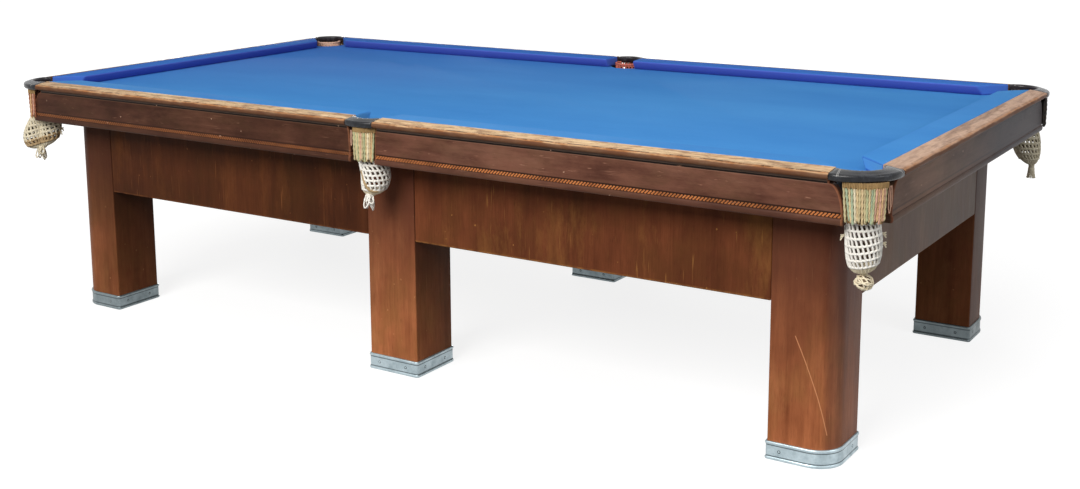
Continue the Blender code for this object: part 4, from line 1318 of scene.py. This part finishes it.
def tube(shape, path, radius, sides, facing, closed=False, ply=0.0, lay=0.0):
    """A cord along a path. Facing gives a way that never runs along it, ply is the depth of its strands."""
    rings = []
    walk = 0.0
    count = len(path)
    for i, point in enumerate(path):
        before = path[i - 1] if i or closed else point
        after = path[(i + 1) % count] if closed or i < count - 1 else point
        ahead = (after - before).normalized()
        out = facing(point)
        out = (out - ahead * out.dot(ahead)).normalized()
        flank = ahead.cross(out)
        if i:
            walk += (point - path[i - 1]).length
        turn = 2 * math.pi * lay * walk
        size = radius(i / (count - 1)) if callable(radius) else radius
        ring = []
        for k in range(sides):
            angle = 2 * math.pi * k / sides
            swell = size * (1 + ply * math.cos(2 * angle - turn))
            ring.append(point + (out * math.cos(angle) + flank * math.sin(angle)) * swell)
        rings.append(ring)
    skin(shape, rings, looped=closed)


def rounded_tip(share):
    """Cord radius along a hanging cord: full, then closed round at its foot."""
    return CORD_RADIUS * math.sqrt(max(0.06, 1 - max(0.0, (share - 0.95) / 0.05) ** 2))


for place, (spot, edges, centre, seam) in POCKETS.items():
    start, stop = FRINGE_SPANS.get(place, CORNER_SPAN)
    sweep = start - stop
    facing = (start + stop) / 2
    oval = 0.0 if "middle" in place else FRINGE_OVAL
    order = FRINGE_ORDER.get(place, FARTHER_ORDER)
    behind, wound = FRINGE_UNDERTONES.get(place, ("shade", "band"))
    arc_length = math.radians(sweep) * FRINGE_RADIUS
    cords = max(3, round(arc_length / CORD_PITCH))
    turns = round(arc_length / BAND_CORD_PITCH)
    top = iron_bottom - FIT
    axis = spot(*centre)
    shape = bmesh.new()

    def on_arc(degrees, out, z):
        """A point of the fringe's curve, out from it and at a height."""
        radius = FRINGE_RADIUS + out + oval * ((degrees - OVAL_MIDDLE) / OVAL_REACH) ** 2
        angle = math.radians(degrees)
        flat = spot(centre[0] + radius * math.cos(angle), centre[1] + radius * math.sin(angle))
        return Vector((flat.x, flat.y, z))

    def outward(point):
        """The level direction away from the middle of the pocket."""
        return Vector((point.x - axis.x, point.y - axis.y, 0.0))

    for number in range(cords * len(CORD_ROWS)):
        i, row = divmod(number, len(CORD_ROWS))
        turned = sweep / 2 - sweep * (i + 0.5 + 0.5 * row) / (cords + 0.5)
        sway = 1.3 * math.sin(2.7 * number) + 1.0 * math.sin(5.3 * number + 1.0)
        foot = top - FRINGE_LENGTH + FRINGE_RAGGED * (1 + math.sin(3.9 * number)) / 2
        head = top - BAND_HEIGHT * 0.7
        path = []
        for k in range(CORD_STEPS + 1):
            share = k / CORD_STEPS
            bow = CORD_STAND - CORD_ROWS[row] + CORD_BOW * math.sin(math.pi * share + number)
            drawn = turned * (1 - FRINGE_TAPER * share) + sway * share ** 2
            path.append(on_arc(facing + drawn, bow, head + (foot - head) * share))
        # Inner-row cords take a darker colour: painted shade between the cords.
        with coloured(shape, YARN_NUMBER[behind if row else order[i % len(order)]]):
            tube(shape, path, rounded_tip, 8, outward, ply=CORD_PLY, lay=CORD_LAY)
    with coloured(shape, YARN_NUMBER[wound]):
        for i in range(turns):
            degrees = facing - sweep / 2 + sweep * (i + 0.5) / turns
            band_foot = BAND_HEIGHT * (0.70 + 0.12 * math.sin(2.1 * i))
            path = [on_arc(degrees, BAND_STAND, top - band_foot * k / 4) for k in range(5)]
            tube(shape, path, BAND_CORD, 6, outward)
    with coloured(shape, YARN_NUMBER["pink"]):
        for turned, length in LOOSE_LOOPS.get(place, ()):
            path = []
            for k in range(24):
                angle = 2 * math.pi * k / 24
                path.append(on_arc(facing + turned + LOOP_WIDTH * math.sin(angle), 0.0,
                                   top - LOOP_DROP - length * (1 - math.cos(angle)) / 2))
            tube(shape, path, LOOP_CORD, 6, outward, closed=True)
    table_piece(shape, f"fringe_cords_{place}", f"fringe_{place}", YARNS, sharp=60)

# Net bags: hand-knotted white cotton, sewn up inside the leather, with rows of open meshes, a gathered foot
# and the ends of the cord tied off in a tangled knot. Each bag is built round the hinge it swings on, and its
# top reaches up to the leather.
BAG_RADIUS = 0.0395
BAG_SWELL = 0.05
NECK_RADIUS = 0.0470
NET_SEAT = 0.004
NET_SLANT = 0.36
NET_WAVE = 0.0010
NET_PLY = {"ply": 0.16, "lay": 120.0}
GATHER_SHARE = 0.82
PLEAT_STEPS = 8
PLEAT_WALL = 0.002
PLEAT_NECK = 0.010
PLEAT_DRAW = 0.002
PLEAT_FOLD = 0.05
SKIN_LEAN = 0.004
TUFT_LENGTH = 0.013
TUFT_CORD = 0.0018
TUFT_DROOP = 0.006
KNOT_RADIUS = 0.024
KNOT_CORD = 0.0021
KNOT_TUCK = 0.002
KNOT_CORE = 0.74
KNOT_LAYER = 0.0016
KNOT_WAVE = 0.005
KNOT_LOOP = {"least": 0.030, "more": 0.026, "splay": 0.008, "more_splay": 0.016, "half": 0.0085}
SHEAF_NECK = 0.0075
SHEAF_SPREAD = 0.0055
SHEAF_LENGTH = 0.042
SHEAF_KNOT = 0.008
KNOT_PLY = {"ply": 0.18, "lay": 90.0}
FOLD_RADIUS = 0.0055
INSIDE_FACING = -0.2
UP = Vector((0.0, 0.0, 1.0))
MESHES, GATHERS, UPPER_ROWS, SHADED_INSIDE, SHADED_CREASES = range(5)
COTTON = yarn_finish("bleached_cotton", (255, 252, 245), (236, 225, 203))
GATHERED = yarn_finish("gathered_cotton", (250, 238, 210), (206, 186, 148))
# Dust and painted shade: the darker colour of the net rows up inside the pocket.
DUST_AND_SHADE_YARN = yarn_finish("dusty_shaded_cotton", (140, 96, 80), (92, 60, 48))
AGED = yarn_finish("aged_cotton", (236, 226, 200), (186, 168, 136))
# Painted shade: a dark brown for the cords' faces turned into a bag and for the core of its knot.
INSIDE_SHADE_YARN = yarn_finish("inside_shade_cotton", (112, 92, 72), (76, 58, 44))
# Painted shade: a darker tan for the fold cord and the lowest rows of some bags, for the shade of their
# folds.
CREASE_SHADE_YARN = yarn_finish("crease_shaded_cotton", (186, 160, 122), (140, 114, 80))
REDDENED = yarn_finish("reddened_cotton", (206, 116, 100), (160, 72, 62))
PEACHY = yarn_finish("peachy_cotton", (240, 196, 170), (206, 128, 104))
PLAIN_BAG = {
    "columns": 23, "row_pitch": 0.0172, "cords": (0.0033, 0.0030), "depth": 0.137, "roundness": 6.5,
    "flat": 0.0, "tilt": (0.0, 0.0), "belly": (0.0, 0.0), "foot": (0.0, 0.0), "knot": "ball",
    "knot_shift": (0.0, 0.0, 0.0), "tufts": (), "crease_shaded_rows": 0, "fold": None,
    "yarns": (COTTON, GATHERED, DUST_AND_SHADE_YARN, INSIDE_SHADE_YARN, CREASE_SHADE_YARN),
}
BAGS = {
    "front_right": {"tilt": (0.16, 0.105), "belly": (0.004, 0.003), "foot": (0.008, 0.005),
                    "tufts": ((-148, 0.653), (32, 0.643), (34, 0.617))},
    "front_middle": {"columns": 18, "row_pitch": 0.0155, "cords": (0.0035, 0.0034), "depth": 0.112,
                     "belly": (0.012, 0.003), "foot": (0.002, -0.003), "knot": "loops",
                     "knot_shift": (0.001, -0.016, 0.016), "fold": ((-121, -32), (0.077, 0.018), 3.5)},
    "front_left": {"columns": 26, "cords": (0.0047, 0.0045), "depth": 0.118, "flat": 0.58,
                   "tilt": (0.24, 0.16), "belly": (-0.009, -0.006), "foot": (-0.010, -0.007),
                   "knot": "loops", "knot_shift": (-0.003, -0.008, 0.016),
                   "tufts": ((30, 0.618), (24, 0.606)), "crease_shaded_rows": 2,
                   "yarns": (AGED, AGED, DUST_AND_SHADE_YARN, INSIDE_SHADE_YARN, CREASE_SHADE_YARN)},
    "back_right": {"columns": 20, "cords": (0.0040, 0.0035), "roundness": 3.4, "flat": 0.06,
                   "belly": (0.007, 0.005), "foot": (0.028, 0.018), "knot": "sheaf",
                   "yarns": (AGED, AGED, AGED, INSIDE_SHADE_YARN)},
    "back_left": {"belly": (0.004, 0.002), "foot": (-0.004, 0.0),
                  "yarns": (COTTON, GATHERED, PEACHY, PEACHY)},
    "back_middle": {"belly": (-0.004, 0.003), "foot": (0.003, 0.0),
                    "yarns": (COTTON, GATHERED, REDDENED, REDDENED)},
}


def unit(angle):
    """A level direction."""
    return Vector((math.cos(angle), math.sin(angle), 0.0))


def tuft(shape, at, out):
    """Short loose ends that stick out of a knot at the side of a bag."""
    for number in range(3):
        path = []
        for i in range(7):
            share = i / 6
            lean = UP * ((0.5 - 0.5 * number) * share)
            path.append(at + (out + lean) * (TUFT_LENGTH * share) - UP * (TUFT_DROOP * share ** 2))
        tube(shape, path, TUFT_CORD, 6, lambda p: UP + out * 0.3)


def knot_ball(shape, middle):
    """A ball of cord wound over itself in a few loose slanted turns."""
    for number in range(9):
        tilt = Matrix.Rotation(1.9 * number + 0.4, 3, "Z") @ Matrix.Rotation(0.7 + 0.83 * number, 3, "X")
        size = KNOT_RADIUS - KNOT_CORD - KNOT_LAYER * (number % 3)
        path = []
        for i in range(28):
            turn = 2 * math.pi * i / 28
            path.append(middle + tilt @ Vector((size * math.cos(turn), size * math.sin(turn) * 0.92,
                                                KNOT_WAVE * math.sin(2 * turn + number))))
        tube(shape, path, KNOT_CORD, 7, lambda p: p - middle, closed=True, **KNOT_PLY)


def knot_loops(shape, middle):
    """Loose loops that hang from the tied neck, long and short, and fall to all sides."""
    head = middle + UP * (KNOT_RADIUS * 0.8)
    for number in range(9):
        turn = 2.4 * number
        lean = unit(turn)
        length = KNOT_LOOP["least"] + KNOT_LOOP["more"] * math.sin(1.7 * number + 0.6) ** 2
        splay = KNOT_LOOP["splay"] + KNOT_LOOP["more_splay"] * math.sin(2.3 * number) ** 2
        path = []
        for i in range(24):
            angle = 2 * math.pi * i / 24
            share = (1 - math.cos(angle)) / 2
            aside = unit(turn + math.pi / 2) * (KNOT_LOOP["half"] * math.sin(angle))
            path.append(head + aside + lean * (splay * share) - UP * (length * share))
        tube(shape, path, KNOT_CORD, 7, lambda p: p - head + lean * 0.03 + UP * 0.002, closed=True,
             **KNOT_PLY)


def knot_sheaf(shape, middle):
    """A sheaf of cut ends, bound at its neck and spread at its foot."""
    for number in range(14):
        turn = 2 * math.pi * number / 14
        path = []
        for i in range(9):
            share = i / 8
            out = unit(turn + 0.5 * share) * (SHEAF_NECK + SHEAF_SPREAD * share ** 2)
            path.append(middle + out + UP * (KNOT_RADIUS * 0.9 - SHEAF_LENGTH * share))
        tube(shape, path, KNOT_CORD, 6, lambda p: p - middle + unit(turn) * 0.05, **KNOT_PLY)
    bmesh.ops.create_icosphere(shape, subdivisions=3, radius=KNOT_RADIUS * 0.45,
                               matrix=Matrix.Translation(middle + UP * SHEAF_KNOT))


KNOTS = {"ball": knot_ball, "loops": knot_loops, "sheaf": knot_sheaf}

for joint in frame["joints"]:
    place = joint["child"].removeprefix("bag_")
    axis_x, axis_y, swing = joint["pos_m"]
    bag = {**PLAIN_BAG, **BAGS[place]}
    belly, foot_lean, tilt = (Vector((*bag[name], 0.0)) for name in ("belly", "foot", "tilt"))
    rope, post = bag["cords"]
    columns = bag["columns"]
    depth = bag["depth"]
    diagonal = math.atan2(axis_y, axis_x)
    top = iron_bottom + NET_SEAT
    foot = swing - depth * GATHER_SHARE
    floor_z = swing - depth
    shape = bmesh.new()

    def sunk(z):
        """How deep a height lies in the bag, as a share of its depth."""
        return min(max((swing - z) / depth, 0.0), 1.25)

    def core(z):
        """The middle of the bag at a height; the bag leans as it hangs."""
        share = sunk(z)
        lean = belly * math.sin(math.pi * min(share, 1.0)) + foot_lean * share ** 3
        return Vector((axis_x, axis_y, z)) + lean

    def reach(z):
        """The bag's radius at a height."""
        if z >= swing:
            return BAG_RADIUS + (NECK_RADIUS - BAG_RADIUS) * min((z - swing) / (top - swing), 1.0)
        swollen = 1 + BAG_SWELL * math.sin(math.pi * sunk(z))
        return BAG_RADIUS * math.sqrt(max(0.0, 1 - sunk(z) ** bag["roundness"])) * swollen

    def on_bag(turn, z):
        """A point of the bag's skin: squeezed flat along the diagonal, and lifted to one side by its tilt."""
        settled = math.sin(math.pi / 2 * min(1.0, 2 * sunk(z)))
        wide = 1 + bag["flat"] * settled * math.cos(2 * (turn - diagonal))
        away = unit(turn) * (reach(z) * wide)
        return core(z) + away + UP * (tilt.dot(away) * settled)

    def from_core(point):
        """The way out of the bag at a point of its skin."""
        return point - core(point.z - SKIN_LEAN)

    rows = max(2, round((top - foot) / bag["row_pitch"]))
    levels = [top + (foot - top) * i / rows for i in range(rows + 1)]
    step = 2 * math.pi / columns
    slip = NET_SLANT * step
    for number, z in enumerate(levels):
        # Rows up inside the pocket are darker: dust and painted shade.
        finish = UPPER_ROWS if z > swing + rope else MESHES
        # The lowest rows of some bags take the painted shade of a fold.
        if number > rows - bag["crease_shaded_rows"]:
            finish = SHADED_CREASES
        with coloured(shape, finish):
            path = []
            for i in range(columns * 4):
                turn = i * step / 4 + slip * number
                path.append(on_bag(turn, z + NET_WAVE * math.sin(4 * turn / step * math.pi / 2)))
            tube(shape, path, rope, 6, lambda p: UP, closed=True, **NET_PLY)
            for i in range(columns if number < rows else 0):
                turn = i * step + slip * number
                fall = levels[number + 1] - z
                path = [on_bag(turn + slip * k / 3, z + fall * k / 3) for k in range(4)]
                tube(shape, path, post, 6, from_core)
    bmesh.ops.recalc_face_normals(shape, faces=shape.faces)
    # Faces turned into the bag take the inside finish: painted shade.
    for face in shape.faces:
        middle = face.calc_center_median()
        away = middle - core(middle.z)
        if face.normal.dot(away) < INSIDE_FACING * away.length:
            face.material_index = SHADED_INSIDE

    pleats = []
    for k in range(PLEAT_STEPS + 1):
        share = k / PLEAT_STEPS
        z = foot + (floor_z - PLEAT_WALL - foot) * share
        ring = []
        for i in range(columns * 4):
            turn = step * i / 4
            away = on_bag(turn, z) - core(z)
            if away.length <= PLEAT_NECK:
                away = unit(turn) * (PLEAT_NECK - PLEAT_DRAW * share)
            ring.append(core(z) + away * (1 + PLEAT_FOLD * (1 + share) * math.cos(columns * turn)))
        pleats.append(ring)
    inner = [[p + (core(p.z) - p).normalized() * PLEAT_WALL for p in ring] for ring in reversed(pleats)]
    knot = core(floor_z) - UP * (KNOT_RADIUS - KNOT_TUCK) + Vector(bag["knot_shift"])
    with coloured(shape, GATHERS):
        skin(shape, pleats + inner, looped=True)
        for turned, z in bag["tufts"]:
            at = on_bag(math.radians(turned), z)
            tuft(shape, at, (at - core(z)).normalized())
    with coloured(shape, MESHES if bag["knot"] == "loops" else GATHERS):
        KNOTS[bag["knot"]](shape, knot)
    # A dark core inside the knot ball: painted shade between its turns.
    if bag["knot"] == "ball":
        with coloured(shape, SHADED_INSIDE):
            bmesh.ops.create_icosphere(shape, subdivisions=3, radius=KNOT_RADIUS * KNOT_CORE,
                                       matrix=Matrix.Translation(knot))
    if bag["fold"]:
        (start, stop), (high, low), bend = bag["fold"]
        path = []
        for i in range(25):
            share = i / 24
            turn = math.radians(start + (stop - start) * share)
            path.append(on_bag(turn, floor_z + low + (high - low) * (1 - share) ** bend))
        # The fold cord takes the painted shade of the fold.
        with coloured(shape, SHADED_CREASES):
            tube(shape, path, FOLD_RADIUS, 7, from_core)

    piece = made_piece(shape, f"net_bag_{place}", bag["yarns"], sharp=70)
    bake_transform(piece)
    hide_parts(f"net_{place}")
